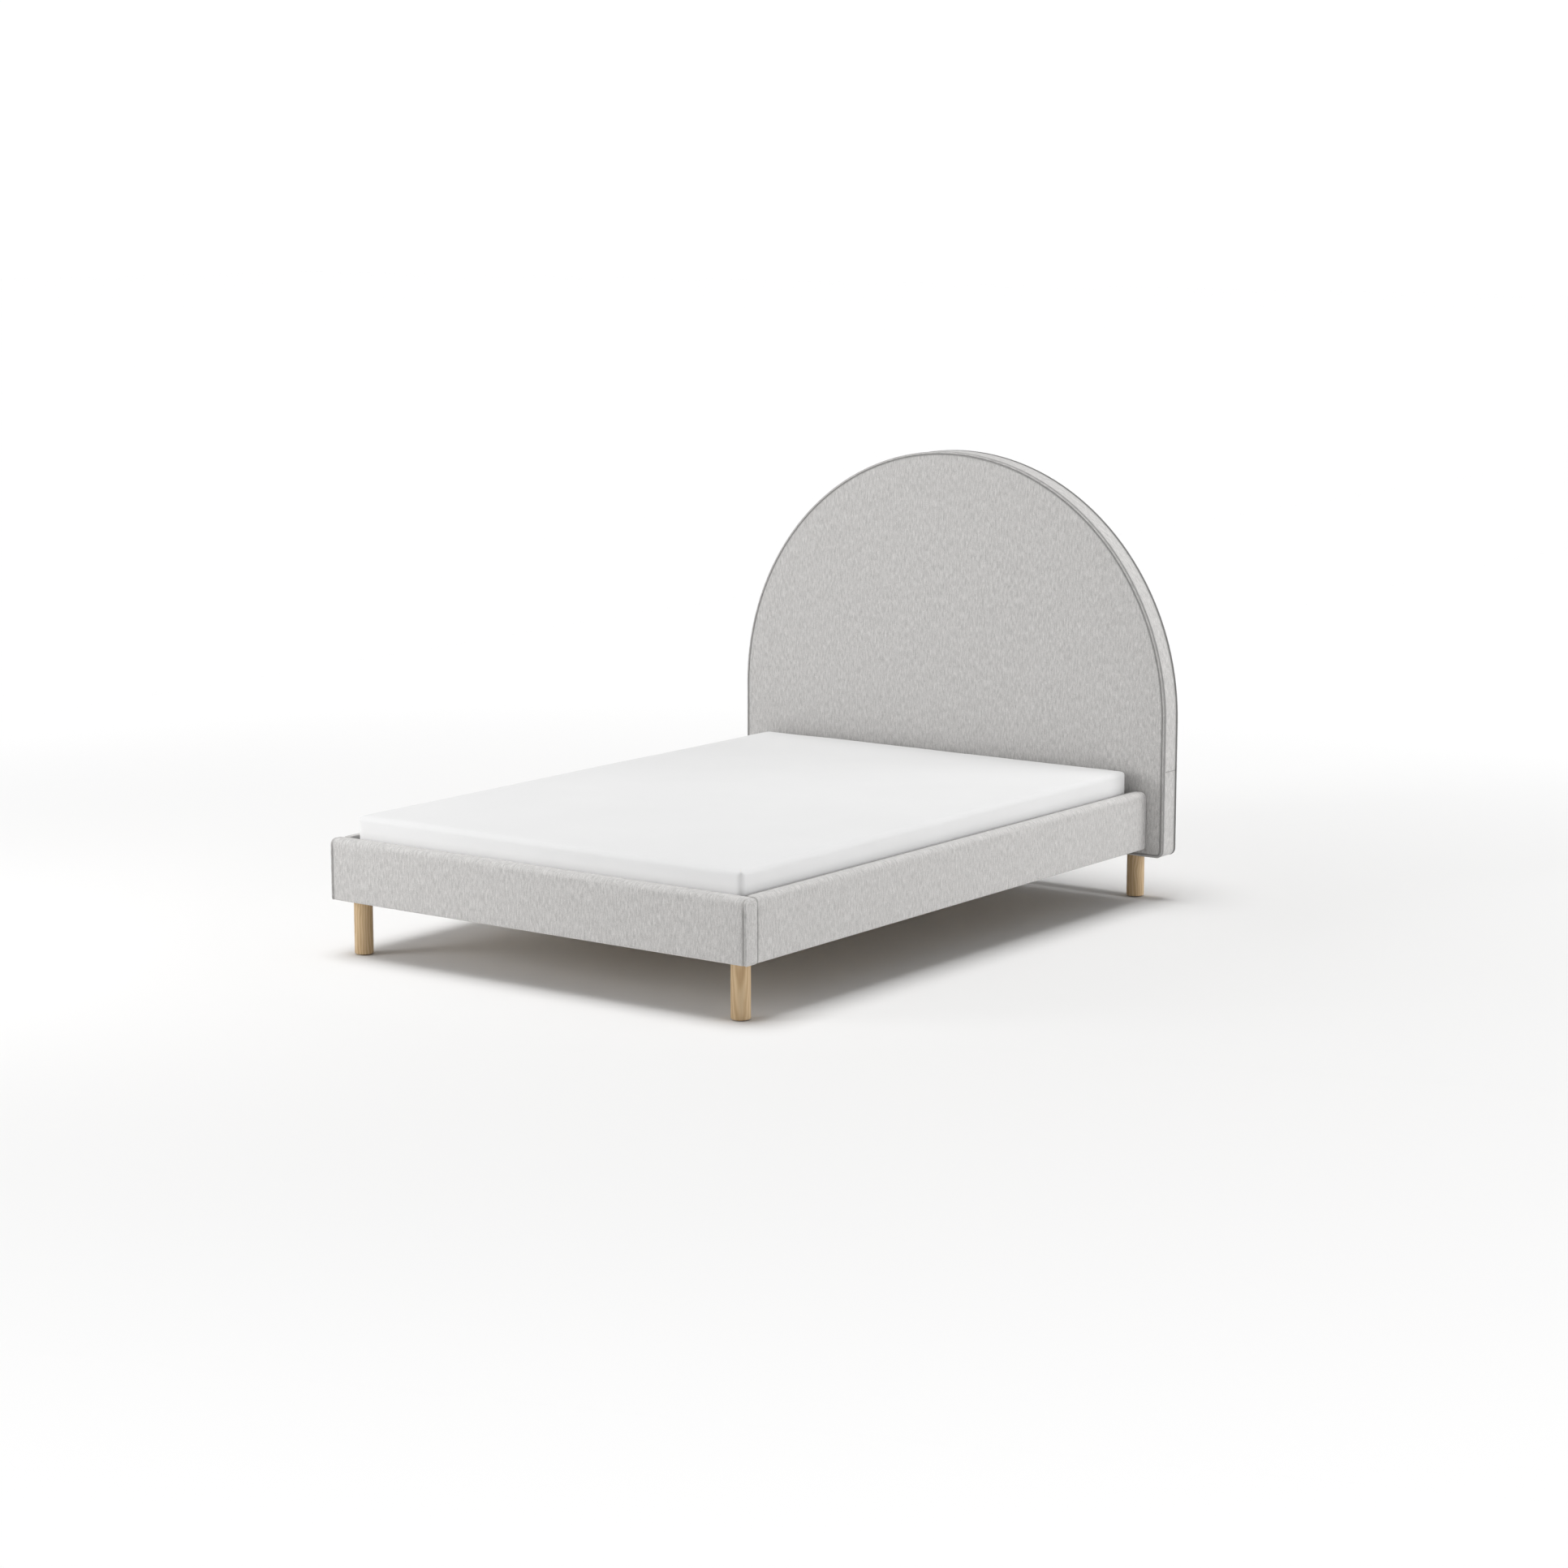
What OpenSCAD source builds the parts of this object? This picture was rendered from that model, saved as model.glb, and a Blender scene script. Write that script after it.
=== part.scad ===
// Upholstered platform bed with an arched headboard, on round wooden legs, with its foam mattress.
// All sizes are in millimetres. +Z is up, +Y runs from the footboard to the headboard, and the
// origin is on the floor under the middle of the bed's length and width.

/* [Mattress] */
// Width of the mattress
mattress_w = 1400; // [1000:10:1800]
// Length of the mattress
mattress_l = 2000; // [1600:10:2400]
// Thickness of the mattress
mattress_h = 160; // [120:5:240]
// Thickness of the mattress cover
mattress_cover_t = 3; // [1:0.5:6]
// Radius of the mattress edges and corners
mattress_edge_r = 22; // [10:1:40]
// Height of the cover's lower half, up to its zip
mattress_zip_h = 45; // [30:1:60]
// Width of the slit that the zip closes
mattress_zip_gap = 1; // [0.5:0.5:3]
// Space between the mattress and each side rail
mattress_side_gap = 3; // [1:1:20]
// Space between the mattress and the footboard
mattress_foot_gap = 2; // [1:1:20]
// Space between the mattress and the headboard
mattress_head_gap = 32; // [5:1:60]
// Clearance under the mattress where it lies on the slats
mattress_rest_gap = 0.3; // [0.1:0.1:1]

/* [Side rails and footboard] */
// Height of the rails' underside above the floor
rail_z = 165; // [120:5:250]
// Height of the rails, padding and cloth included
rail_h = 180; // [165:5:260]
// Thickness of the wooden board in each rail
board_t = 28; // [24:1:40]
// Thickness of the foam on the rails' outer faces
outer_foam_t = 12; // [8:1:20]
// Thickness of the foam on the rails' top edges
top_foam_t = 12; // [8:1:20]
// Thickness of the foam on the rails' inner faces
inner_foam_t = 7; // [5:1:12]
// Thickness of the upholstery cloth
cloth_t = 1.5; // [1:0.25:2]
// How far the padding reaches down inside the rails
lip_h = 85; // [40:1:90]
// Radius of the rails' top edges
rail_edge_r = 14; // [8:1:18]
// Radius of the rails' lower edges
rail_low_r = 5; // [3:1:8]
// Radius of the rail ends at the headboard, at the top
rail_end_top_r = 22; // [10:1:28]
// Radius of the rail ends at the headboard, at the bottom
rail_end_low_r = 12; // [5:1:13]
// Gap between the rail ends and the headboard
rail_head_gap = 4; // [1:1:10]
// How far the footboard's end covers turn round onto its face
end_wrap = 8; // [4:1:12]

/* [Headboard] */
// How far the headboard's piping stands out past each side rail
head_overhang = 57; // [30:1:250]
// Height above the floor where the arch begins
head_spring_z = 562; // [480:2:900]
// Height of the headboard's underside above the floor
head_z = 140; // [110:5:150]
// Radius of the headboard's bottom corners
head_corner_r = 22; // [16:1:60]
// Thickness of the foam on the headboard's front
front_foam_t = 16; // [12:1:30]
// Thickness of the plywood behind the front foam
front_board_t = 9; // [6:1:15]
// Thickness of the headboard's battens and posts
batten_t = 40; // [30:1:60]
// Thickness of the plywood at the back
back_board_t = 5; // [4:1:9]
// Thickness of the foam on the headboard's back
back_foam_t = 12; // [10:1:20]
// Thickness of the foam round the headboard's edge
edge_foam_t = 6; // [4:1:10]
// Radius of the piping
pipe_r = 4; // [2.5:0.5:4.5]
// How far the piping stands proud of the edge
pipe_proud = 2; // [1:0.5:2]
// Clearance between the piping and the covers sewn to it
seam_gap = 0.3; // [0.1:0.1:0.5]
// How far the two posts reach inwards past the back legs
post_margin = 10; // [5:1:40]
// Height of the batten across the bottom
low_batten_h = 100; // [95:1:140]
// Height of the batten across the middle
mid_batten_h = 60; // [40:1:100]
// Width of the curved former under the arch
former_w = 60; // [40:1:120]

/* [Legs] */
// Diameter of the legs
leg_d = 55; // [40:1:70]
// Distance from a leg's centre to the outer face of the side rail
leg_side_inset = 65; // [60:1:90]
// Distance from a front leg's centre to the footboard's face
leg_foot_inset = 63; // [60:1:90]
// Diameter of the leg under the middle beam
centre_leg_d = 40; // [36:1:60]
// Chamfer round the legs' lower ends
leg_chamfer = 2; // [1:0.5:4]
// Diameter of the glides
glide_d = 32; // [20:1:34]
// Thickness of the glides
glide_t = 3; // [2:0.5:6]
// Diameter of the glides' pins
glide_pin_d = 4; // [3:0.5:6]
// Length of the glides' pins
glide_pin_l = 14; // [8:1:25]
// Side of the wooden blocks in the front corners
block_w = 78; // [70:1:120]

/* [Slatted base] */
// Height of the ledges' top faces above the floor
ledge_top_z = 235; // [225:1:240]
// Width of the ledges that the slats lie on
ledge_w = 30; // [20:1:45]
// Height of the ledges
ledge_h = 30; // [20:1:40]
// Width of one slat
slat_w = 98; // [60:1:110]
// Thickness of one slat
slat_t = 18; // [12:1:22]
// Space between a slat's end and the rail's board
slat_end_gap = 4; // [2:1:8]
// Space between the footboard's board and the first slat
slat_foot_gap = 14; // [5:1:30]
// Width of the two straps that space the slats
strap_w = 40; // [20:1:60]
// Thickness of the straps
strap_t = 1.2; // [0.8:0.1:2]
// Distance from the bed's middle line to each strap
strap_x = 350; // [150:5:450]
// Width of the middle beam
beam_w = 45; // [35:1:70]
// Height of the middle beam
beam_h = 65; // [50:1:66]
// Thickness of the steel hangers and brackets
steel_t = 3; // [2:0.5:4]
// How far a hanger reaches along the beam
hanger_l = 40; // [30:1:60]
// Width of a hanger's screw flanges
flange_w = 20; // [16:1:30]
// Length of each arm of the headboard brackets
bracket_l = 60; // [55:1:90]
// Height of the headboard brackets
bracket_h = 55; // [45:1:60]
// Height of the headboard brackets' lower edge above the rails' underside
bracket_rise = 13; // [10:1:15]
// Length of the plate on the middle leg
centre_plate_l = 90; // [60:1:120]

/* [Fasteners] */
// Diameter of the bolts in the legs
leg_bolt_d = 8; // [6:1:10]
// Length of the leg bolts inside the legs
leg_bolt_down = 45; // [30:1:60]
// Length of the leg bolts above the legs
leg_bolt_up = 45; // [30:1:50]
// Diameter of the bolts in the headboard brackets
head_bolt_d = 8; // [6:1:10]
// Diameter of the bolts in the corner blocks
corner_bolt_d = 6; // [5:1:8]
// Diameter of the wood screws
screw_d = 4; // [3:0.5:5]
// How far the bolts and screws reach into the last board
bite = 22; // [15:1:24]
// Number of screws in each ledge
ledge_screw_count = 7; // [3:1:12]
// Clearance round every bolt and screw
hole_clear = 0.05; // [0.02:0.01:0.2]
// Gap between wooden parts that meet end to end
fit_gap = 1; // [0.5:0.5:3]

/* [Hidden] */
$fn = 96;

slat_count = 12;

// Depths into a padded rail, from its outer face
board_out = cloth_t + outer_foam_t;
board_in = board_out + board_t;
rail_t = board_in + inner_foam_t + cloth_t;

// Plan of the bed: Y counts from the footboard's face
bed_w = mattress_w + 2 * (mattress_side_gap + rail_t);
mattress_y = rail_t + mattress_foot_gap;
head_y = mattress_y + mattress_l + mattress_head_gap;
head_t = 2 * cloth_t + front_foam_t + front_board_t + batten_t + back_board_t + back_foam_t;
bed_l = head_y + head_t;
rail_end_y = head_y - rail_head_gap;
board_x = bed_w / 2 - board_in;
board_end_y = rail_end_y - board_out;

// Heights above the floor
rail_top_z = rail_z + rail_h;
board_z = rail_z + cloth_t;
board_top_z = rail_top_z - cloth_t - top_foam_t;
board_h = board_top_z - board_z;
lip_z = rail_top_z - lip_h;
beam_z = ledge_top_z - beam_h;
slat_top_z = ledge_top_z + slat_t;
mattress_z = slat_top_z + mattress_rest_gap;

// Headboard: insets from the outline of its edge cover, and depths from its front face
arch_r = bed_w / 2 + head_overhang - pipe_proud;
board_inset = cloth_t + edge_foam_t;
pipe_inset = pipe_r - pipe_proud;
panel_inset = pipe_inset + pipe_r + seam_gap;
pipe_zone = 2 * pipe_r + seam_gap;
front_board_d = cloth_t + front_foam_t;
batten_d = front_board_d + front_board_t;
back_board_d = batten_d + batten_t;
back_foam_d = back_board_d + back_board_t;
back_cloth_d = back_foam_d + back_foam_t;
leg_x = bed_w / 2 - leg_side_inset;
post_x = leg_x - leg_d / 2 - post_margin;

// Legs and their bolts
back_leg_y = head_y + batten_d + batten_t / 2;
middle_leg_y = (rail_t + head_y) / 2;
middle_leg_top_z = beam_z - steel_t;
leg_seats = [
    [-leg_x, leg_foot_inset, rail_z],
    [leg_x, leg_foot_inset, rail_z],
    [-leg_x, back_leg_y, head_z],
    [leg_x, back_leg_y, head_z],
    [0, middle_leg_y, middle_leg_top_z]];

// Slatted base
block_end_y = board_in + block_w;
ledge_y = block_end_y + fit_gap;
ledge_end_y = head_y - bracket_l - fit_gap;
ledge_x = board_x - ledge_w;
slat_y = board_in + slat_foot_gap;
slat_pitch = (ledge_end_y - slat_w - slat_y) / (slat_count - 1);
bracket_z = rail_z + bracket_rise;
hanger_h = beam_h - fit_gap;
flange_x = beam_w / 2 + steel_t + flange_w / 2;

// Bolt heads are this much wider than the bolt, and this much of its diameter high
head_wide = 1.8;
head_high = 0.6;
corner_bolt_spread = 15;
bracket_bolt_spread = bracket_h / 4;

// ---------- shared shapes ----------

// Everything is drawn with Y counted from the footboard's face, then moved to the origin.
module bed_place() {
    translate([0, -bed_l / 2, 0]) children();
}

// Draws a right-hand piece, or its mirror image on the left.
module on_side(side) {
    mirror([side < 0 ? 1 : 0, 0, 0]) children();
}

module box(low, high) {
    translate(low) cube(high - low);
}

// Upright panel outline, w wide and h high, with its four corners rounded.
module soft_profile(w, h, top_r, low_r) {
    translate([0, low_r]) square([w, h - low_r - top_r]);
    translate([top_r, h - top_r]) square([w - 2 * top_r, top_r]);
    translate([low_r, 0]) square([w - 2 * low_r, low_r]);
    for (x = [top_r, w - top_r]) translate([x, h - top_r]) circle(top_r);
    for (x = [low_r, w - low_r]) translate([x, low_r]) circle(low_r);
}

// Side view of a rail, square at the foot and rounded at the headboard.
module rail_side_view(l, h, top_r, low_r) {
    square([l - max(top_r, low_r), h]);
    translate([0, low_r]) square([l, h - low_r - top_r]);
    translate([l - top_r, h - top_r]) circle(top_r);
    translate([l - low_r, low_r]) circle(low_r);
    square([l - low_r, low_r]);
}

// Padded right-hand side rail, shrunk by inset on every side except its foot end at start_y.
module rail_body(inset, start_y) {
    l = rail_end_y - inset - start_y;
    h = rail_h - 2 * inset;
    intersection() {
        translate([bed_w / 2 - rail_t + inset, start_y + l, rail_z + inset])
            rotate([90, 0, 0])
            linear_extrude(l)
            soft_profile(rail_t - 2 * inset, h, rail_edge_r - inset, rail_low_r - inset);
        translate([bed_w / 2 - rail_t, start_y, rail_z + inset])
            rotate([90, 0, 90])
            linear_extrude(rail_t)
            rail_side_view(l, h, rail_end_top_r - inset, rail_end_low_r - inset);
    }
}

// Space inside the rail's board, below the padded lip: bare wood shows there.
module rail_bare_space() {
    box([board_x - rail_t, 0, 0], [board_x, bed_l, lip_z]);
}

module rail_board_body() {
    box([board_x, board_in, board_z], [board_x + board_t, board_end_y, board_top_z]);
}

// Padded footboard, shrunk by inset on every side.
module footboard_body(inset) {
    w = bed_w - 2 * inset;
    h = rail_h - 2 * inset;
    intersection() {
        translate([-w / 2, inset, rail_z + inset])
            rotate([90, 0, 90])
            linear_extrude(w)
            soft_profile(rail_t - 2 * inset, h, rail_edge_r - inset, rail_low_r - inset);
        translate([-w / 2, rail_t, rail_z + inset])
            rotate([90, 0, 0])
            linear_extrude(rail_t)
            soft_profile(w, h, rail_edge_r - inset, rail_low_r - inset);
    }
}

module footboard_board_body() {
    half = bed_w / 2 - board_out;
    box([-half, board_out, board_z], [half, board_in, board_top_z]);
}

// What the footboard's padding is cut back for: the rails' boards and the bare inner face.
module footboard_cuts() {
    footboard_board_body();
    for (side = [-1, 1]) on_side(side) rail_board_body();
    box([-board_x, board_in, 0], [board_x, rail_t + 1, lip_z]);
}

module footboard_skin() {
    difference() {
        footboard_body(0);
        footboard_body(cloth_t);
        footboard_cuts();
    }
}

// The two slices of the bed's width that the footboard's end covers take.
module end_cover_zones() {
    for (side = [-1, 1]) on_side(side)
        box([bed_w / 2 - end_wrap, -1, 0], [bed_w / 2 + 1, rail_t + 1, rail_top_z + 1]);
}

// Outline of the headboard: a half circle on a straight-sided panel with rounded lower corners.
module arch_outline(inset) {
    r = arch_r - inset;
    corner = head_corner_r - inset;
    low = head_z + inset;
    intersection() {
        translate([0, head_spring_z]) circle(r, $fn = 360);
        translate([-r, head_spring_z]) square([2 * r, r]);
    }
    translate([-r, low + corner]) square([2 * r, head_spring_z - low - corner]);
    translate([corner - r, low]) square([2 * (r - corner), corner]);
    for (x = [corner - r, r - corner]) translate([x, low + corner]) circle(corner);
}

// Slab of that outline, from depth d behind the headboard's front face.
module arch_slab(inset, d, t) {
    translate([0, head_y + d + t, 0])
        rotate([90, 0, 0])
        linear_extrude(t)
        arch_outline(inset);
}

module arch_band(inset, band, d, t) {
    difference() {
        arch_slab(inset, d, t);
        arch_slab(inset + band, d - 1, t + 2);
    }
}

// Round piping along the outline, its middle at depth d.
module piping(d) {
    r = arch_r - pipe_inset;
    corner = head_corner_r - pipe_inset;
    low = head_z + pipe_inset;
    translate([0, head_y + d, 0]) {
        translate([0, 0, head_spring_z])
            rotate([90, 0, 0])
            rotate_extrude(angle = 180, $fn = 360)
            translate([r, 0])
            circle(pipe_r, $fn = 24);
        for (side = [-1, 1]) on_side(side) {
            translate([r, 0, low + corner])
                cylinder(r = pipe_r, h = head_spring_z - low - corner, $fn = 24);
            translate([r - corner, 0, low + corner])
                rotate([90, 0, 0])
                rotate_extrude(angle = -90, $fn = 48)
                translate([corner, 0])
                circle(pipe_r, $fn = 24);
            translate([0, 0, low])
                rotate([0, 90, 0])
                cylinder(r = pipe_r, h = r - corner, $fn = 24);
        }
    }
}

// Round leg from the top of its glide to z_top, with holes for its bolt and its glide's pin.
module leg(d, z_top) {
    r = d / 2;
    hole_r = leg_bolt_d / 2 + hole_clear;
    pin_r = glide_pin_d / 2 + hole_clear;
    bolt_z = z_top - leg_bolt_down;
    pin_z = glide_t + glide_pin_l;
    color("burlywood")
        rotate_extrude()
        polygon([[pin_r, glide_t], [r - leg_chamfer, glide_t], [r, glide_t + leg_chamfer],
                 [r, z_top], [hole_r, z_top], [hole_r, bolt_z], [0, bolt_z], [0, pin_z],
                 [pin_r, pin_z]]);
}

// Bolt or screw pointing along +Z, with the underside of its head at z = 0.
module fastener(d, l) {
    cylinder(d = d, h = l);
    translate([0, 0, -head_high * d]) cylinder(d = head_wide * d, h = head_high * d);
}

module fastener_hole(d, l) {
    translate([0, 0, -1]) cylinder(d = d + 2 * hole_clear, h = l + 1);
}

// Block of the mattress's outline with all its edges rounded, shrunk by inset.
module mattress_body(inset) {
    w = mattress_w - 2 * inset;
    l = mattress_l - 2 * inset;
    h = mattress_h - 2 * inset;
    r = mattress_edge_r - inset;
    translate([-w / 2, mattress_y + inset, mattress_z + inset])
        intersection() {
            linear_extrude(h) soft_profile(w, l, r, r);
            translate([0, l, 0]) rotate([90, 0, 0]) linear_extrude(l) soft_profile(w, h, r, r);
            rotate([90, 0, 90]) linear_extrude(w) soft_profile(l, h, r, r);
        }
}

// ---------- where the fasteners sit ----------

module at_leg_seats() {
    for (seat = leg_seats) translate(seat) children();
}

module leg_bolt_holes() {
    at_leg_seats()
        translate([0, 0, -leg_bolt_down])
        cylinder(d = leg_bolt_d + 2 * hole_clear, h = leg_bolt_down + leg_bolt_up);
}

// Right-hand ledge screws, driven outwards through the ledge into the rail's board.
module at_ledge_screws() {
    step = (ledge_end_y - ledge_y) / ledge_screw_count;
    for (i = [0 : ledge_screw_count - 1])
        translate([ledge_x, ledge_y + (i + 0.5) * step, ledge_top_z - ledge_h / 2])
        rotate([0, 90, 0])
        children();
}

// Right-hand corner bolts that run across the bed, into the side rail.
module at_block_rail_bolts() {
    for (i = [0, 1])
        translate([board_x - block_w, block_end_y - corner_bolt_spread,
                   rail_z + corner_bolt_spread * (1 + 2 * i)])
        rotate([0, 90, 0])
        children();
}

// Right-hand corner bolts that run along the bed, into the footboard.
module at_block_foot_bolts() {
    for (i = [0, 1])
        translate([board_x - block_w + corner_bolt_spread, block_end_y,
                   rail_z + corner_bolt_spread * (2 + 2 * i)])
        rotate([90, 0, 0])
        children();
}

module bracket_bolt_heights() {
    for (side = [-1, 1])
        translate([0, 0, bracket_z + bracket_h / 2 + side * bracket_bolt_spread])
        children();
}

// Right-hand bracket bolts into the side rail.
module at_bracket_rail_bolts() {
    bracket_bolt_heights()
        translate([board_x - steel_t, head_y - steel_t - bracket_l / 2, 0])
        rotate([0, 90, 0])
        children();
}

// Right-hand bracket bolts into the headboard's post.
module at_bracket_post_bolts() {
    bracket_bolt_heights()
        translate([board_x - steel_t - bracket_l / 2, head_y - steel_t, 0])
        rotate([-90, 0, 0])
        children();
}

module at_foot_hanger_screws() {
    for (x = [-flange_x, flange_x])
        translate([x, board_in + steel_t, beam_z + beam_h / 2])
        rotate([90, 0, 0])
        children();
}

module at_head_hanger_screws() {
    for (x = [-flange_x, flange_x])
        translate([x, head_y - steel_t, beam_z + beam_h / 2])
        rotate([-90, 0, 0])
        children();
}

// Lengths of the fasteners under their heads
block_bolt_l = block_w + bite;
rail_bracket_bolt_l = steel_t + bite;
post_bracket_bolt_l = steel_t + batten_d + bite;
foot_hanger_screw_l = steel_t + bite;
head_hanger_screw_l = steel_t + batten_d + bite;
ledge_screw_l = ledge_w + bite;

module rail_fastener_holes() {
    at_ledge_screws() fastener_hole(screw_d, ledge_screw_l);
    at_block_rail_bolts() fastener_hole(corner_bolt_d, block_bolt_l);
    at_bracket_rail_bolts() fastener_hole(head_bolt_d, rail_bracket_bolt_l);
}

module headboard_fastener_holes() {
    for (side = [-1, 1]) on_side(side)
        at_bracket_post_bolts() fastener_hole(head_bolt_d, post_bracket_bolt_l);
    at_head_hanger_screws() fastener_hole(screw_d, head_hanger_screw_l);
}

// ---------- side rails ----------

// Board inside a side rail.
module rail_board(side) {
    color("tan") bed_place() on_side(side) difference() {
        rail_board_body();
        rail_fastener_holes();
    }
}

// Foam over the board's outer face, top edge and the upper part of its inner face.
module rail_foam(side) {
    color("ivory") bed_place() on_side(side) difference() {
        rail_body(cloth_t, rail_t);
        rail_board_body();
        rail_bare_space();
    }
}

// Cloth over the foam, turned in under the board.
module rail_cover(side) {
    color("silver") bed_place() on_side(side) difference() {
        rail_body(0, rail_t);
        rail_body(cloth_t, rail_t - 1);
        rail_board_body();
        rail_bare_space();
    }
}

// ---------- footboard ----------

module footboard_board() {
    color("tan") bed_place() difference() {
        footboard_board_body();
        for (side = [-1, 1]) on_side(side)
            at_block_foot_bolts() fastener_hole(corner_bolt_d, block_bolt_l);
        at_foot_hanger_screws() fastener_hole(screw_d, foot_hanger_screw_l);
    }
}

module footboard_foam() {
    color("ivory") bed_place() difference() {
        footboard_body(cloth_t);
        footboard_cuts();
    }
}

module footboard_cover() {
    color("silver") bed_place() difference() {
        footboard_skin();
        end_cover_zones();
    }
}

// Cloth strips sewn over the footboard's two ends.
module footboard_end_covers() {
    color("lightgray") bed_place() intersection() {
        footboard_skin();
        end_cover_zones();
    }
}

// ---------- headboard ----------

module headboard_front_board() {
    color("tan") bed_place() difference() {
        arch_slab(board_inset, front_board_d, front_board_t);
        headboard_fastener_holes();
    }
}

// Upright post over a back leg, which the side rail's bracket is bolted to.
module headboard_post(side) {
    color("burlywood") bed_place() difference() {
        intersection() {
            arch_slab(board_inset, batten_d, batten_t);
            on_side(side) box([post_x, head_y, 0], [arch_r, bed_l, head_spring_z]);
        }
        headboard_fastener_holes();
        leg_bolt_holes();
    }
}

// Battens across the bottom and the middle, between the posts.
module headboard_cross_battens() {
    y = head_y + batten_d;
    low_z = head_z + board_inset;
    color("burlywood") bed_place() difference() {
        union() {
            box([-post_x, y, low_z], [post_x, y + batten_t, low_z + low_batten_h]);
            box([-post_x, y, head_spring_z - mid_batten_h], [post_x, y + batten_t, head_spring_z]);
        }
        headboard_fastener_holes();
    }
}

// Half ring of laminated plywood that shapes the arch, standing on the posts.
module headboard_arch_former() {
    r = arch_r - board_inset;
    color("tan") bed_place()
        translate([0, head_y + batten_d + batten_t, head_spring_z])
        rotate([90, 0, 0])
        linear_extrude(batten_t)
        difference() {
            circle(r, $fn = 360);
            circle(r - former_w, $fn = 360);
            translate([-r, -r]) square([2 * r, r]);
        }
}

module headboard_back_board() {
    color("tan") bed_place() arch_slab(board_inset, back_board_d, back_board_t);
}

// Front foam, stepped back round its edge to leave room for the piping.
module headboard_front_foam() {
    color("ivory") bed_place() difference() {
        union() {
            arch_slab(panel_inset, cloth_t, pipe_zone - cloth_t);
            arch_slab(cloth_t, pipe_zone, front_board_d - pipe_zone);
        }
        headboard_fastener_holes();
    }
}

module headboard_edge_foam() {
    color("ivory") bed_place() difference() {
        arch_band(cloth_t, edge_foam_t, front_board_d, back_foam_d - front_board_d);
        leg_bolt_holes();
    }
}

module headboard_back_foam() {
    step_d = head_t - pipe_zone;
    color("ivory") bed_place() {
        arch_slab(cloth_t, back_foam_d, step_d - back_foam_d);
        arch_slab(panel_inset, step_d, back_cloth_d - step_d);
    }
}

module headboard_front_cover() {
    color("silver") bed_place() difference() {
        arch_slab(panel_inset, 0, cloth_t);
        headboard_fastener_holes();
    }
}

// Strip of cloth round the headboard's edge, between the two runs of piping.
module headboard_edge_cover() {
    color("lightgray") bed_place() difference() {
        arch_band(0, cloth_t, pipe_zone, head_t - 2 * pipe_zone);
        leg_bolt_holes();
    }
}

module headboard_back_cover() {
    color("silver") bed_place() arch_slab(panel_inset, back_cloth_d, cloth_t);
}

module headboard_front_piping() {
    color("gray") bed_place() piping(pipe_r);
}

module headboard_back_piping() {
    color("gray") bed_place() piping(head_t - pipe_r);
}

// ---------- ledges, corner blocks and brackets ----------

module ledge(side) {
    color("wheat") bed_place() on_side(side) difference() {
        box([ledge_x, ledge_y, ledge_top_z - ledge_h], [board_x, ledge_end_y, ledge_top_z]);
        at_ledge_screws() fastener_hole(screw_d, ledge_screw_l);
    }
}

module ledge_screws() {
    color("goldenrod") bed_place()
        for (side = [-1, 1]) on_side(side)
        at_ledge_screws() fastener(screw_d, ledge_screw_l);
}

// Wooden block in a front corner: it joins rail and footboard and carries the leg.
module corner_block(side) {
    color("wheat") bed_place() difference() {
        on_side(side) difference() {
            box([board_x - block_w, board_in, rail_z], [board_x, block_end_y, ledge_top_z]);
            at_block_rail_bolts() fastener_hole(corner_bolt_d, block_bolt_l);
            at_block_foot_bolts() fastener_hole(corner_bolt_d, block_bolt_l);
        }
        leg_bolt_holes();
    }
}

module corner_bolts() {
    color("dimgray") bed_place()
        for (side = [-1, 1]) on_side(side) {
            at_block_rail_bolts() fastener(corner_bolt_d, block_bolt_l);
            at_block_foot_bolts() fastener(corner_bolt_d, block_bolt_l);
        }
}

// Steel angle between a side rail's board and the headboard.
module head_bracket(side) {
    y = head_y - bracket_l;
    z = bracket_z + bracket_h;
    color("dimgray") bed_place() on_side(side) difference() {
        union() {
            box([board_x - steel_t, y, bracket_z], [board_x, head_y, z]);
            box([board_x - bracket_l, head_y - steel_t, bracket_z], [board_x, head_y, z]);
        }
        at_bracket_rail_bolts() fastener_hole(head_bolt_d, rail_bracket_bolt_l);
        at_bracket_post_bolts() fastener_hole(head_bolt_d, post_bracket_bolt_l);
    }
}

module head_bracket_bolts() {
    color("gray") bed_place()
        for (side = [-1, 1]) on_side(side) {
            at_bracket_rail_bolts() fastener(head_bolt_d, rail_bracket_bolt_l);
            at_bracket_post_bolts() fastener(head_bolt_d, post_bracket_bolt_l);
        }
}

// ---------- middle beam ----------

module middle_beam() {
    color("wheat") bed_place() difference() {
        box([-beam_w / 2, board_in + steel_t, beam_z],
            [beam_w / 2, head_y - steel_t, ledge_top_z]);
        leg_bolt_holes();
    }
}

// Steel shoe that holds one end of the beam. Its back plate lies on y = 0 and it opens along +Y.
module beam_hanger() {
    half = beam_w / 2 + steel_t;
    box([-half - flange_w, 0, -steel_t], [half + flange_w, steel_t, hanger_h]);
    box([-half, 0, -steel_t], [half, hanger_l, 0]);
    for (side = [-1, 1]) on_side(side) box([beam_w / 2, 0, -steel_t], [half, hanger_l, hanger_h]);
}

module beam_hangers() {
    color("dimgray") bed_place() difference() {
        union() {
            translate([0, board_in, beam_z]) beam_hanger();
            translate([0, head_y, beam_z]) mirror([0, 1, 0]) beam_hanger();
        }
        at_foot_hanger_screws() fastener_hole(screw_d, foot_hanger_screw_l);
        at_head_hanger_screws() fastener_hole(screw_d, head_hanger_screw_l);
    }
}

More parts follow.
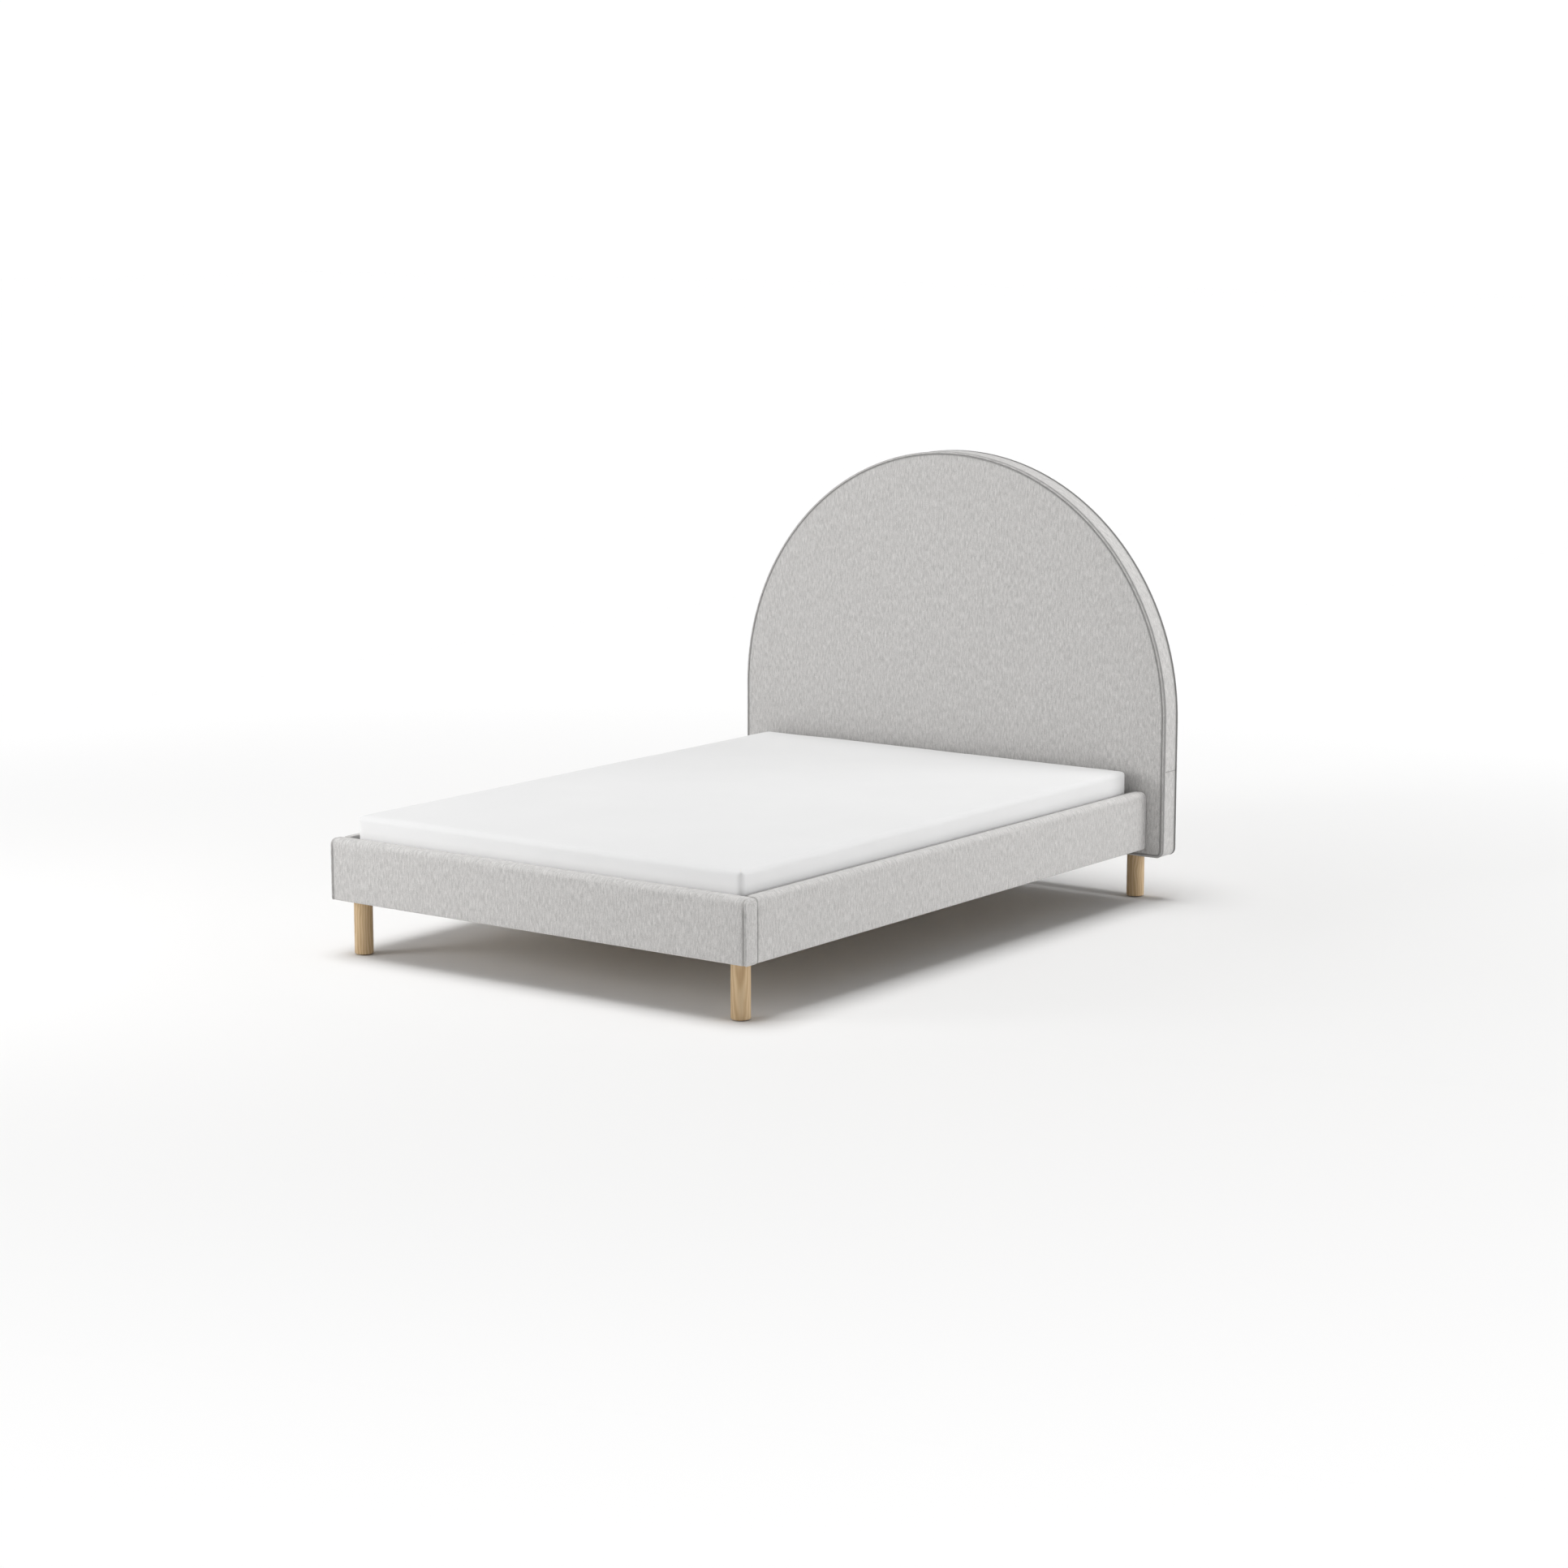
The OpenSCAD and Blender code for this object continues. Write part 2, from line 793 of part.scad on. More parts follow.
module hanger_screws() {
    color("goldenrod") bed_place() {
        at_foot_hanger_screws() fastener(screw_d, foot_hanger_screw_l);
        at_head_hanger_screws() fastener(screw_d, head_hanger_screw_l);
    }
}

module middle_leg() {
    bed_place() translate([0, middle_leg_y, 0]) leg(centre_leg_d, middle_leg_top_z);
}

module middle_leg_plate() {
    color("dimgray") bed_place() difference() {
        box([-beam_w / 2, middle_leg_y - centre_plate_l / 2, middle_leg_top_z],
            [beam_w / 2, middle_leg_y + centre_plate_l / 2, beam_z]);
        leg_bolt_holes();
    }
}

// ---------- legs ----------

module front_leg(side) {
    bed_place() translate([side * leg_x, leg_foot_inset, 0]) leg(leg_d, rail_z);
}

module back_leg(side) {
    bed_place() translate([side * leg_x, back_leg_y, 0]) leg(leg_d, head_z);
}

// Double-ended bolts between the legs and what they carry.
module leg_bolts() {
    color("gray") bed_place() at_leg_seats()
        translate([0, 0, -leg_bolt_down])
        cylinder(d = leg_bolt_d, h = leg_bolt_down + leg_bolt_up);
}

// Nail-on glides under the legs.
module leg_glides() {
    color("dimgray") bed_place()
        for (seat = leg_seats) translate([seat[0], seat[1], 0]) {
            cylinder(d = glide_d, h = glide_t);
            cylinder(d = glide_pin_d, h = glide_t + glide_pin_l);
        }
}

// ---------- slats ----------

// One slat, lying on both ledges and the middle beam. The first is at the foot.
module slat(number) {
    half = board_x - slat_end_gap;
    y = slat_y + (number - 1) * slat_pitch;
    color("wheat") bed_place()
        box([-half, y, ledge_top_z], [half, y + slat_w, slat_top_z]);
}

// Webbing stapled under the slats to keep them spaced.
module slat_straps() {
    color("white") bed_place()
        for (x = [-strap_x, strap_x])
            box([x - strap_w / 2, slat_y, ledge_top_z - strap_t],
                [x + strap_w / 2, ledge_end_y, ledge_top_z]);
}

// ---------- mattress ----------

module mattress_core() {
    color("ivory") bed_place() mattress_body(mattress_cover_t);
}

// Two halves of the cover, closed by a zip all round.
module mattress_cover() {
    zip_z = mattress_z + mattress_zip_h;
    color("white") bed_place() difference() {
        mattress_body(0);
        mattress_body(mattress_cover_t);
        box([-mattress_w, 0, zip_z], [mattress_w, bed_l, zip_z + mattress_zip_gap]);
    }
}

// ---------- the bed ----------

rail_board(-1);  // left_rail_board
rail_board(1);  // right_rail_board
rail_foam(-1);  // left_rail_foam
rail_foam(1);  // right_rail_foam
rail_cover(-1);  // left_rail_cover
rail_cover(1);  // right_rail_cover
footboard_board();
footboard_foam();
footboard_cover();
footboard_end_covers();
headboard_front_board();
headboard_post(-1);  // headboard_left_post
headboard_post(1);  // headboard_right_post
headboard_cross_battens();
headboard_arch_former();
headboard_back_board();
headboard_front_foam();
headboard_edge_foam();
headboard_back_foam();
headboard_front_cover();
headboard_edge_cover();
headboard_back_cover();
headboard_front_piping();
headboard_back_piping();
ledge(-1);  // left_ledge
ledge(1);  // right_ledge
ledge_screws();
corner_block(-1);  // left_corner_block
corner_block(1);  // right_corner_block
corner_bolts();
head_bracket(-1);  // left_head_bracket
head_bracket(1);  // right_head_bracket
head_bracket_bolts();
middle_beam();
beam_hangers();
hanger_screws();
middle_leg();
middle_leg_plate();
front_leg(-1);  // front_left_leg
front_leg(1);  // front_right_leg
back_leg(-1);  // back_left_leg
back_leg(1);  // back_right_leg
leg_bolts();
leg_glides();
slat_straps();
for (i = [1 : slat_count])
    slat(i);
mattress_core();
mattress_cover();
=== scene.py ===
import math

import bmesh
import bpy
import numpy as np
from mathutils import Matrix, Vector


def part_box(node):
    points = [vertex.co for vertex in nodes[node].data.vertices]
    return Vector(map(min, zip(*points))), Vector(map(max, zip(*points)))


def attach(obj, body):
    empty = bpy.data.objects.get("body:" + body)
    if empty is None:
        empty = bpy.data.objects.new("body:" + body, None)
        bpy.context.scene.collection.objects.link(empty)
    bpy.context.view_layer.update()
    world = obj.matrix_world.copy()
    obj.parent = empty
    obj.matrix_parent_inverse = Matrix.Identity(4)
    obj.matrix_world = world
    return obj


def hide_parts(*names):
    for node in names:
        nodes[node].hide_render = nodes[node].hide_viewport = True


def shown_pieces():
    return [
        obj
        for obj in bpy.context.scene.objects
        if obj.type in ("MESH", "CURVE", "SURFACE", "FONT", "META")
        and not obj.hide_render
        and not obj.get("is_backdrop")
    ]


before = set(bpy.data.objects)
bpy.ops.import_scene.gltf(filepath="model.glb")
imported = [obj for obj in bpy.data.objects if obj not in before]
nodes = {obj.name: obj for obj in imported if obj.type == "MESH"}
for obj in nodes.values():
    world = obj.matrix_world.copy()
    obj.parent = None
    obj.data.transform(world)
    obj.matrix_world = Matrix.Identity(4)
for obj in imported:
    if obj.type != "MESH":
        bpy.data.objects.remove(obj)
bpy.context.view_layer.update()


# ---------- the room ----------
# A white studio: a wide pale floor, soft light from nearly straight above, one softbox off the bed's
# left front and a larger one off its right side, beyond the head. The camera stands off the front
# right corner, a little over two metres up.

camera_data = bpy.data.cameras.new("camera")
camera_data.sensor_width = 36.0
camera_data.lens = 80.06
camera = bpy.data.objects.new("camera", camera_data)
bpy.context.scene.collection.objects.link(camera)
camera.location = (6.193, -8.3085, 2.205)
camera.rotation_euler = (math.radians(90 - 9.71), 0, math.radians(36.34))
bpy.context.scene.camera = camera
bpy.context.scene.view_settings.view_transform = "Standard"

# Soft light from the whole room, stronger from its two sides, with a bright strip along the horizon.
# The backdrop itself is white.
world = bpy.data.worlds.new("studio")
world.use_nodes = True
world_nodes, world_links = world.node_tree.nodes, world.node_tree.links
outlook = world_nodes.new("ShaderNodeTexCoord").outputs["Generated"]
skyward = world_nodes.new("ShaderNodeSeparateXYZ")
world_links.new(outlook, skyward.inputs[0])
above_horizon = world_nodes.new("ShaderNodeMapRange")
above_horizon.inputs["From Min"].default_value = 0.07
above_horizon.inputs["From Max"].default_value = 0.13
world_links.new(skyward.outputs["Z"], above_horizon.inputs["Value"])
sideways = world_nodes.new("ShaderNodeVectorMath")
sideways.operation = "DOT_PRODUCT"
sideways.inputs[1].default_value = (0.806, 0.593, 0.0)
world_links.new(outlook, sideways.inputs[0])
squared = world_nodes.new("ShaderNodeMath")
squared.operation = "POWER"
squared.inputs[1].default_value = 2.0
world_links.new(sideways.outputs["Value"], squared.inputs[0])
walls = world_nodes.new("ShaderNodeMath")
walls.operation = "MULTIPLY_ADD"
walls.inputs[1].default_value = 0.40
walls.inputs[2].default_value = 0.28
world_links.new(squared.outputs[0], walls.inputs[0])
unseen = world_nodes.new("ShaderNodeMath")
unseen.operation = "SUBTRACT"
unseen.use_clamp = True
world_links.new(above_horizon.outputs["Result"], unseen.inputs[0])
world_links.new(world_nodes.new("ShaderNodeLightPath").outputs["Is Camera Ray"], unseen.inputs[1])
glow = world_nodes.new("ShaderNodeMix")
glow.inputs["A"].default_value = 1.03
world_links.new(unseen.outputs[0], glow.inputs["Factor"])
world_links.new(walls.outputs[0], glow.inputs["B"])
world_nodes["Background"].inputs["Color"].default_value = (1, 1, 1, 1)
world_links.new(glow.outputs["Result"], world_nodes["Background"].inputs["Strength"])
bpy.context.scene.world = world

overhead_data = bpy.data.lights.new("overhead", "SUN")
overhead_data.angle = math.radians(34)
overhead_data.energy = 1.95
overhead = bpy.data.objects.new("overhead", overhead_data)
overhead.rotation_euler = (math.radians(2), math.radians(-5), 0)
bpy.context.scene.collection.objects.link(overhead)


def softbox(name, place, target, size, power, spread):
    """A large square light at one place, facing another, its grid open to that spread in degrees."""
    data = bpy.data.lights.new(name, "AREA")
    data.shape = "SQUARE"
    data.size = size
    data.energy = power
    data.spread = math.radians(spread)
    light = bpy.data.objects.new(name, data)
    light.location = place
    light.rotation_euler = (Vector(target) - Vector(place)).to_track_quat("-Z", "Y").to_euler()
    light.visible_camera = False
    bpy.context.scene.collection.objects.link(light)
    return light


softbox("softbox_left", (-3.4, -4.4, 1.9), (0.1, 1.0, 0.85), 2.0, 19.0, 70)
right_softbox = softbox("softbox_right", (7.0, 5.0, 2.5), (0, 0, 0.3), 4.0, 274.0, 180)

# The floor is painted darker within about 1.7 m of the bed's middle, paler beyond, and white from 4.8 m:
# painted light, so that the floor far from the bed, where only the room's own light reaches it, still
# shows white.
floor_reach = 60.0
floor_mesh = bpy.data.meshes.new("floor")
floor_corners = floor_reach * np.array([[-1, -1, 0], [1, -1, 0], [1, 1, 0], [-1, 1, 0]])
floor_mesh.from_pydata(floor_corners.tolist(), [], [(0, 1, 2, 3)])
floor = bpy.data.objects.new("floor", floor_mesh)
bpy.context.scene.collection.objects.link(floor)
floor_paint = bpy.data.materials.new("floor_paint")
floor_paint.use_nodes = True
floor_nodes, floor_links = floor_paint.node_tree.nodes, floor_paint.node_tree.links
floor_shader = floor_nodes["Principled BSDF"]
floor_shader.inputs["Roughness"].default_value = 0.9
floor_shader.inputs["Specular IOR Level"].default_value = 0.0
distance = floor_nodes.new("ShaderNodeVectorMath")
distance.operation = "LENGTH"
floor_links.new(floor_nodes.new("ShaderNodeTexCoord").outputs["Object"], distance.inputs[0])
share = floor_nodes.new("ShaderNodeMath")
share.operation = "DIVIDE"
share.inputs[1].default_value = floor_reach
floor_links.new(distance.outputs["Value"], share.inputs[0])
paint = floor_nodes.new("ShaderNodeValToRGB")
paint.color_ramp.elements[0].position = 0.028
paint.color_ramp.elements[0].color = (0.865, 0.862, 0.858, 1)
paint.color_ramp.elements[1].position = 0.08
paint.color_ramp.elements[1].color = (1.0, 1.0, 1.0, 1)
floor_links.new(share.outputs[0], paint.inputs["Fac"])
floor_links.new(paint.outputs["Color"], floor_shader.inputs["Base Color"])
floor_mesh.materials.append(floor_paint)
floor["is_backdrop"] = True


# ---------- boards of the side rails ----------
# Each side rail is built on a sawn pine board, on edge, that the ledges and brackets screw to.
# Only its inner face and lower edge show, from below.

def fresh(name, roughness, specular=0.4):
    """A new material: the material, its nodes, its links and its shader."""
    material = bpy.data.materials.new(name)
    material.use_nodes = True
    tree = material.node_tree
    shader = tree.nodes["Principled BSDF"]
    shader.inputs["Roughness"].default_value = roughness
    shader.inputs["Specular IOR Level"].default_value = specular
    return material, tree.nodes, tree.links, shader


def noise(tree_nodes, links, place, scale, turn=(0, 0, 0), detail=3.0, roughness=0.55, twist=0.0):
    """Noise stretched by scale on each axis, from 0 to 1, on the coordinates that place gives."""
    mapping = tree_nodes.new("ShaderNodeMapping")
    mapping.inputs["Scale"].default_value = scale
    mapping.inputs["Rotation"].default_value = turn
    texture = tree_nodes.new("ShaderNodeTexNoise")
    texture.inputs["Scale"].default_value = 1.0
    texture.inputs["Detail"].default_value = detail
    texture.inputs["Roughness"].default_value = roughness
    texture.inputs["Distortion"].default_value = twist
    links.new(place, mapping.inputs["Vector"])
    links.new(mapping.outputs["Vector"], texture.inputs["Vector"])
    return texture.outputs["Fac"]


def weigh(tree_nodes, links, first, second, share):
    """First times share, plus second times what is left."""
    kept = tree_nodes.new("ShaderNodeMath")
    kept.operation = "MULTIPLY"
    kept.inputs[1].default_value = share
    links.new(first, kept.inputs[0])
    added = tree_nodes.new("ShaderNodeMath")
    added.operation = "MULTIPLY_ADD"
    added.inputs[1].default_value = 1 - share
    links.new(second, added.inputs[0])
    links.new(kept.outputs[0], added.inputs[2])
    return added.outputs[0]


def ramp(tree_nodes, links, value, stops):
    """Colours by value: each stop is a place from 0 to 1 and its colour."""
    colours = tree_nodes.new("ShaderNodeValToRGB")
    while len(colours.color_ramp.elements) < len(stops):
        colours.color_ramp.elements.new(0.5)
    for element, (place, colour) in zip(colours.color_ramp.elements, stops):
        element.position = place
        element.color = (*colour, 1)
    links.new(value, colours.inputs["Fac"])
    return colours.outputs["Color"]


def raised(tree_nodes, links, shader, height, depth, strength=1.0):
    """Bump on the shader, depth metres from its lowest to its highest point."""
    bump = tree_nodes.new("ShaderNodeBump")
    bump.inputs["Distance"].default_value = depth
    bump.inputs["Strength"].default_value = strength
    links.new(height, bump.inputs["Height"])
    links.new(bump.outputs["Normal"], shader.inputs["Normal"])


def wood(name, pale, dark, along, ring=70.0, roughness=0.6):
    """Sawn wood, its grain along one axis: wavy growth lines, fine fibres and a slow change of tone."""
    material, tree_nodes, links, shader = fresh(name, roughness)
    place = tree_nodes.new("ShaderNodeTexCoord").outputs["Object"]
    lines = [ring, ring, ring]
    fibres = [900.0, 900.0, 900.0]
    tones = [14.0, 14.0, 14.0]
    lines[along], fibres[along], tones[along] = ring * 0.045, 14.0, 1.6
    growth = noise(tree_nodes, links, place, lines, (0.05, 0.04, 0.03), 1.5, 0.5, 0.9)
    fibre = noise(tree_nodes, links, place, fibres, detail=2.0)
    tone = noise(tree_nodes, links, place, tones, detail=1.0)
    figure = weigh(tree_nodes, links, growth, fibre, 0.62)
    mixed = weigh(tree_nodes, links, figure, tone, 0.75)
    middle = [0.5 * (a + b) for a, b in zip(pale, dark)]
    stops = [(0.36, dark), (0.5, middle), (0.62, pale)]
    links.new(ramp(tree_nodes, links, mixed, stops), shader.inputs["Base Color"])
    raised(tree_nodes, links, shader, figure, 0.0004, 0.5)
    return material


def dress(material, *names):
    """These CAD pieces take the material."""
    for name in names:
        mesh = nodes[name].data
        mesh.materials.clear()
        mesh.materials.append(material)


pine_along_bed = wood("pine_along_the_bed", (0.60, 0.48, 0.34), (0.43, 0.32, 0.21), 1)
dress(pine_along_bed, "left_rail_board", "right_rail_board")


# ---------- padding of the side rails ----------
# Cut sheets of grey upholstery foam, glued over the outer face, the top edge and the inner lip.

def foam(name, colour):
    """Open-cell foam: small cells that pit the face, with a slight change of colour between them."""
    material, tree_nodes, links, shader = fresh(name, 0.95, 0.2)
    place = tree_nodes.new("ShaderNodeTexCoord").outputs["Object"]
    cells = noise(tree_nodes, links, place, (620.0, 620.0, 620.0))
    patches = noise(tree_nodes, links, place, (9.0, 9.0, 9.0), detail=2.0)
    mixed = weigh(tree_nodes, links, cells, patches, 0.7)
    low = [c * 0.86 for c in colour]
    links.new(ramp(tree_nodes, links, mixed, [(0.35, low), (0.6, colour)]), shader.inputs["Base Color"])
    raised(tree_nodes, links, shader, cells, 0.0012, 0.6)
    return material


grey_foam = foam("grey_foam", (0.47, 0.465, 0.455))
dress(grey_foam, "left_rail_foam", "right_rail_foam")


# ---------- covers of the side rails ----------
# Light grey slub cloth, wrapped over the foam and stapled under the board. Each one is eased into
# a seam at the footboard, and folded round the padded end that stands just clear of the headboard.

cloth_grey = (0.532, 0.522, 0.512)
slub_width, slub_length, thread = 0.0046, 0.021, 0.0017


def marked(tree_nodes, links, mark, plain, other):
    """The plain colour, giving way to the other one as the piece's own mark goes from 0 to 1."""
    place = tree_nodes.new("ShaderNodeAttribute")
    place.attribute_name = mark
    blend = tree_nodes.new("ShaderNodeMix")
    blend.data_type = "RGBA"
    links.new(place.outputs["Fac"], blend.inputs["Factor"])
    links.new(plain, blend.inputs["A"])
    if isinstance(other, list):
        blend.inputs["B"].default_value = (*other, 1)
    else:
        links.new(other, blend.inputs["B"])
    return blend.outputs["Result"]


def slub_cloth(name, colour, contrast=0.28):
    """Woven cloth with slubs, the thick short lengths in its upright yarns, over a fine uneven weave.
    Where the piece's painted-shade mark is set it takes painted shade, down to 0.3 of its colour, at
    seams, gaps and piping. The pattern lies on the cloth's own measure, in metres, slubs along its
    second direction."""
    material, tree_nodes, links, shader = fresh(name, 0.92, 0.25)
    shader.inputs["Sheen Weight"].default_value = 0.18
    shader.inputs["Sheen Roughness"].default_value = 0.6
    place = tree_nodes.new("ShaderNodeUVMap")
    place.uv_map = "cloth"
    on_cloth = place.outputs["UV"]
    slub_scale = (1 / slub_width, 1 / slub_length, 1)
    thread_scale = (1 / thread, 0.5 / thread, 1)
    slubs = noise(tree_nodes, links, on_cloth, slub_scale, (0, 0, 0), 2.5, 0.6, 0.6)
    weave = noise(tree_nodes, links, on_cloth, thread_scale, (0, 0, 0), 1.5, 0.6, 0.3)
    figure = weigh(tree_nodes, links, slubs, weave, 0.6)
    dark = [c * (1 - contrast) for c in colour]
    pale = [min(1.0, c * (1 + contrast)) for c in colour]
    yarn = ramp(tree_nodes, links, figure, [(0.32, dark), (0.5, colour), (0.68, pale)])
    # Painted shade: the colour falls to 0.3 of itself where the piece's painted-shade mark is 1.
    shaded = marked(tree_nodes, links, "painted_shade", yarn, [c * 0.30 for c in colour])
    links.new(shaded, shader.inputs["Base Color"])
    raised(tree_nodes, links, shader, figure, 0.0016, 0.55)
    return material


def cloth_piece(name, points, measure, painted_shade, inside, material):
    """A mesh from a grid of points, four to a face, with the cloth's measure as its UV map and its
    painted shade, at seams and gaps, as an attribute. Faces are turned away from the inside points, one
    for each grid point."""
    rows, columns = points.shape[:2]
    index = np.arange(rows * columns).reshape(rows, columns)
    corners = [index[:-1, :-1], index[1:, :-1], index[1:, 1:], index[:-1, 1:]]
    quads = np.stack(corners, -1).reshape(-1, 4)
    flat = points.reshape(-1, 3)
    face_normal = np.cross(flat[quads[:, 2]] - flat[quads[:, 0]], flat[quads[:, 3]] - flat[quads[:, 1]])
    outwards = flat[quads].mean(1) - inside.reshape(-1, 3)[quads].mean(1)
    if (face_normal * outwards).sum() < 0:
        quads = quads[:, ::-1]
    mesh = bpy.data.meshes.new(name)
    mesh.from_pydata(flat.tolist(), [], quads.tolist())
    layer = mesh.uv_layers.new(name="cloth")
    layer.data.foreach_set("uv", measure.reshape(-1, 2)[quads.reshape(-1)].astype(np.float32).ravel())
    mark = mesh.attributes.new("painted_shade", "FLOAT", "POINT")
    mark.data.foreach_set("value", np.broadcast_to(painted_shade, (rows, columns)).astype(np.float32).ravel())
    mesh.materials.append(material)
    mesh.shade_smooth()
    piece = bpy.data.objects.new(name, mesh)
    bpy.context.scene.collection.objects.link(piece)
    return piece


def weld(piece, gap=1e-5):
    """Joins the points that lie on each other, so that a seam or a pole is closed."""
    shape = bmesh.new()
    shape.from_mesh(piece.data)
    bmesh.ops.remove_doubles(shape, verts=shape.verts, dist=gap)
    shape.to_mesh(piece.data)
    shape.free()


def thicken(piece, thickness, levels=0):
    """Gives the cloth its thickness on its inner side, and smooths it."""
    if levels:
        smooth = piece.modifiers.new("smooth", "SUBSURF")
        smooth.levels = smooth.render_levels = levels
    wall = piece.modifiers.new("wall", "SOLIDIFY")
    wall.thickness = thickness
    wall.offset = -1.0


def outline_points(corners, radii, step):
    """An open outline through corner points, each rounded to its radius, cut into steps of about equal
    length: points and outward directions, with the outline's inside on its right."""
    corners = np.asarray(corners, float)
    runs = []
    for before, corner, after, radius in zip(corners[:-2], corners[1:-1], corners[2:], radii):
        into = (corner - before) / np.linalg.norm(corner - before)
        out = (after - corner) / np.linalg.norm(after - corner)
        turn = np.linspace(0, 1, 9)[:, None]
        reach = radius * math.tan(0.5 * math.acos(np.clip(into @ out, -1, 1)))
        towards_centre = np.sign(into[0] * out[1] - into[1] * out[0]) * np.array([-into[1], into[0]])
        centre = corner - into * reach + radius * towards_centre
        start, end = corner - into * reach - centre, corner + out * reach - centre
        angle = math.acos(np.clip(start @ end / radius**2, -1, 1))
        arc = (np.sin((1 - turn) * angle) * start + np.sin(turn * angle) * end) / math.sin(angle)
        runs.append(centre + arc)
    line = np.vstack([corners[:1], *runs, corners[-1:]])
    length = np.concatenate([[0], np.cumsum(np.linalg.norm(np.diff(line, axis=0), axis=1))])
    count = int(round(length[-1] / step)) + 1
    along = np.linspace(0, length[-1], count)
    points = np.stack([np.interp(along, length, line[:, 0]), np.interp(along, length, line[:, 1])], 1)
    run = np.gradient(points, along, axis=0)
    run /= np.linalg.norm(run, axis=1)[:, None]
    outward = np.stack([-run[:, 1], run[:, 0]], 1)
    return points, outward, along


def eased(distance, reach):
    """0 at a seam, rising in a quarter round to 1 at reach from it."""
    near = np.clip(distance / reach, 0, 1)
    return np.sqrt(1 - (1 - near) ** 2)


def ripple(along, pitch, seed):
    """Uneven gathers along a seam, from -1 to 1: four waves of nearby lengths, added up."""
    waves = np.random.default_rng(seed)
    total = np.zeros_like(along)
    for _ in range(4):
        length = pitch * waves.uniform(0.6, 1.9)
        total = total + np.sin(2 * np.pi * along / length + waves.uniform(0, 6.28))
    return total / 4


def settle(piece, held, pressure, cap):
    """The filling presses the cloth outwards for a number of frames, while the held points stay where
    they are sewn or stapled. No point moves further than cap, or sinks more than a little way inwards,
    where the filling is."""
    frames, most_inwards = 20, 0.0003
    group = piece.vertex_groups.new(name="held")
    for weight in (0.25, 0.5, 0.75, 1.0):
        chosen = np.flatnonzero(np.abs(held - weight) < 0.125)
        group.add(chosen.tolist(), weight, "REPLACE")
    cloth = piece.modifiers.new("cloth", "CLOTH")
    cloth.settings.quality = 5
    cloth.settings.mass = 0.3
    cloth.settings.tension_stiffness = 25
    cloth.settings.compression_stiffness = 25
    cloth.settings.bending_stiffness = 4
    cloth.settings.use_pressure = True
    cloth.settings.uniform_pressure_force = pressure
    cloth.settings.vertex_group_mass = "held"
    cloth.settings.effector_weights.gravity = 0
    cloth.point_cache.frame_start = 1
    cloth.point_cache.frame_end = frames
    for number in range(1, frames + 1):
        bpy.context.scene.frame_set(number)
    count = len(piece.data.vertices)
    before = np.empty(count * 3, np.float32)
    piece.data.vertices.foreach_get("co", before)
    settled = piece.evaluated_get(bpy.context.evaluated_depsgraph_get()).to_mesh()
    after = np.empty(count * 3, np.float32)
    settled.vertices.foreach_get("co", after)
    piece.to_mesh_clear()
    moved = (after - before).reshape(-1, 3)
    distance = np.linalg.norm(moved, axis=1)[:, None]
    print(piece.name, "settled by", float(distance.mean()), float(distance.max()))
    moved = moved * (cap * np.tanh(distance / cap) / np.maximum(distance, 1e-9))
    normal = np.empty(count * 3, np.float32)
    piece.data.vertices.foreach_get("normal", normal)
    normal = normal.reshape(-1, 3)
    inwards = np.maximum(-(moved * normal).sum(1) - most_inwards, 0)
    moved = moved + normal * inwards[:, None]
    piece.modifiers.remove(cloth)
    piece.vertex_groups.remove(group)
    piece.data.vertices.foreach_set("co", (before.reshape(-1, 3) + moved).ravel())
    piece.data.update()
    bpy.context.scene.frame_set(1)


grey_cloth = slub_cloth("grey_slub_cloth", cloth_grey)
cloth_thickness = 0.0015
cloth_step = 0.004
rail_low, rail_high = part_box("right_rail_cover")
rail_board_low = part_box("right_rail_board")[0]
rail_width = rail_high.x - rail_low.x
rail_height = rail_high.z - rail_low.z
rail_top_round, rail_low_round, lip_round = 0.014, 0.005, 0.003
rail_end_top_round, rail_end_low_round = 0.014, 0.008
lip_height = rail_height - 0.085
turned_in = rail_board_low.x - rail_low.x
# Stitches pull the cloth in by seam_depth, within seam_reach of them, and the foam stops it at
# most_sunk. Points stand close together beside a seam, at these distances from it.
seam_depth, seam_reach, most_sunk = 0.0012, 0.0022, -0.0011
beside_seam = np.array([0, 0.001, 0.002, 0.0035, 0.005, 0.008, 0.012])
edge_ease = 0.0042


def padded_section(width, height, turned, lip, top_round, low_round, step):
    """Half-closed section of a padded board: from under the board, up the outer face, over the top and
    down the inner face to the lip, where it turns in to the board. 0, 0 is the outer face's foot."""
    corners = [(width - turned, 0), (0, 0), (0, height), (width, height), (width, lip),
               (width - turned, lip)]
    return outline_points(corners, [low_round, top_round, top_round, lip_round], step)


def rounded_off(stations, end, radius):
    """How far a face has turned away at each station: a quarter circle over the last radius."""
    past = np.clip(stations - (end - radius), 0, radius)
    return radius - np.sqrt(radius**2 - past**2)


def spine_height(rim, foot, middle):
    """Where each point of an open end meets the line down the end's middle, which stops half a width
    short of the top and the foot: at the point's own height, to the nearest of the line's even steps."""
    step = 0.006
    along_spine = np.clip(rim[:, 2] - foot, middle, rail_height - middle)
    return foot + np.round(along_spine / step) * step


def seam_shade(from_seam, section, strength, width):
    """The painted shade in a seam: a bell curve across it, fading out near the section's top."""
    over_top = np.clip((section[None, :, 1] - rail_height + 0.035) / 0.03, 0, 1)
    return strength * np.exp(-(from_seam / width) ** 2) * (1 - 0.8 * over_top)


def deep_inside(points, foot, top):
    """A copy of the points, drawn towards the middle of the board's height."""
    core = 0.06
    inside = points.copy()
    inside[..., 2] = np.clip(points[..., 2], foot + core, top - core)
    return inside


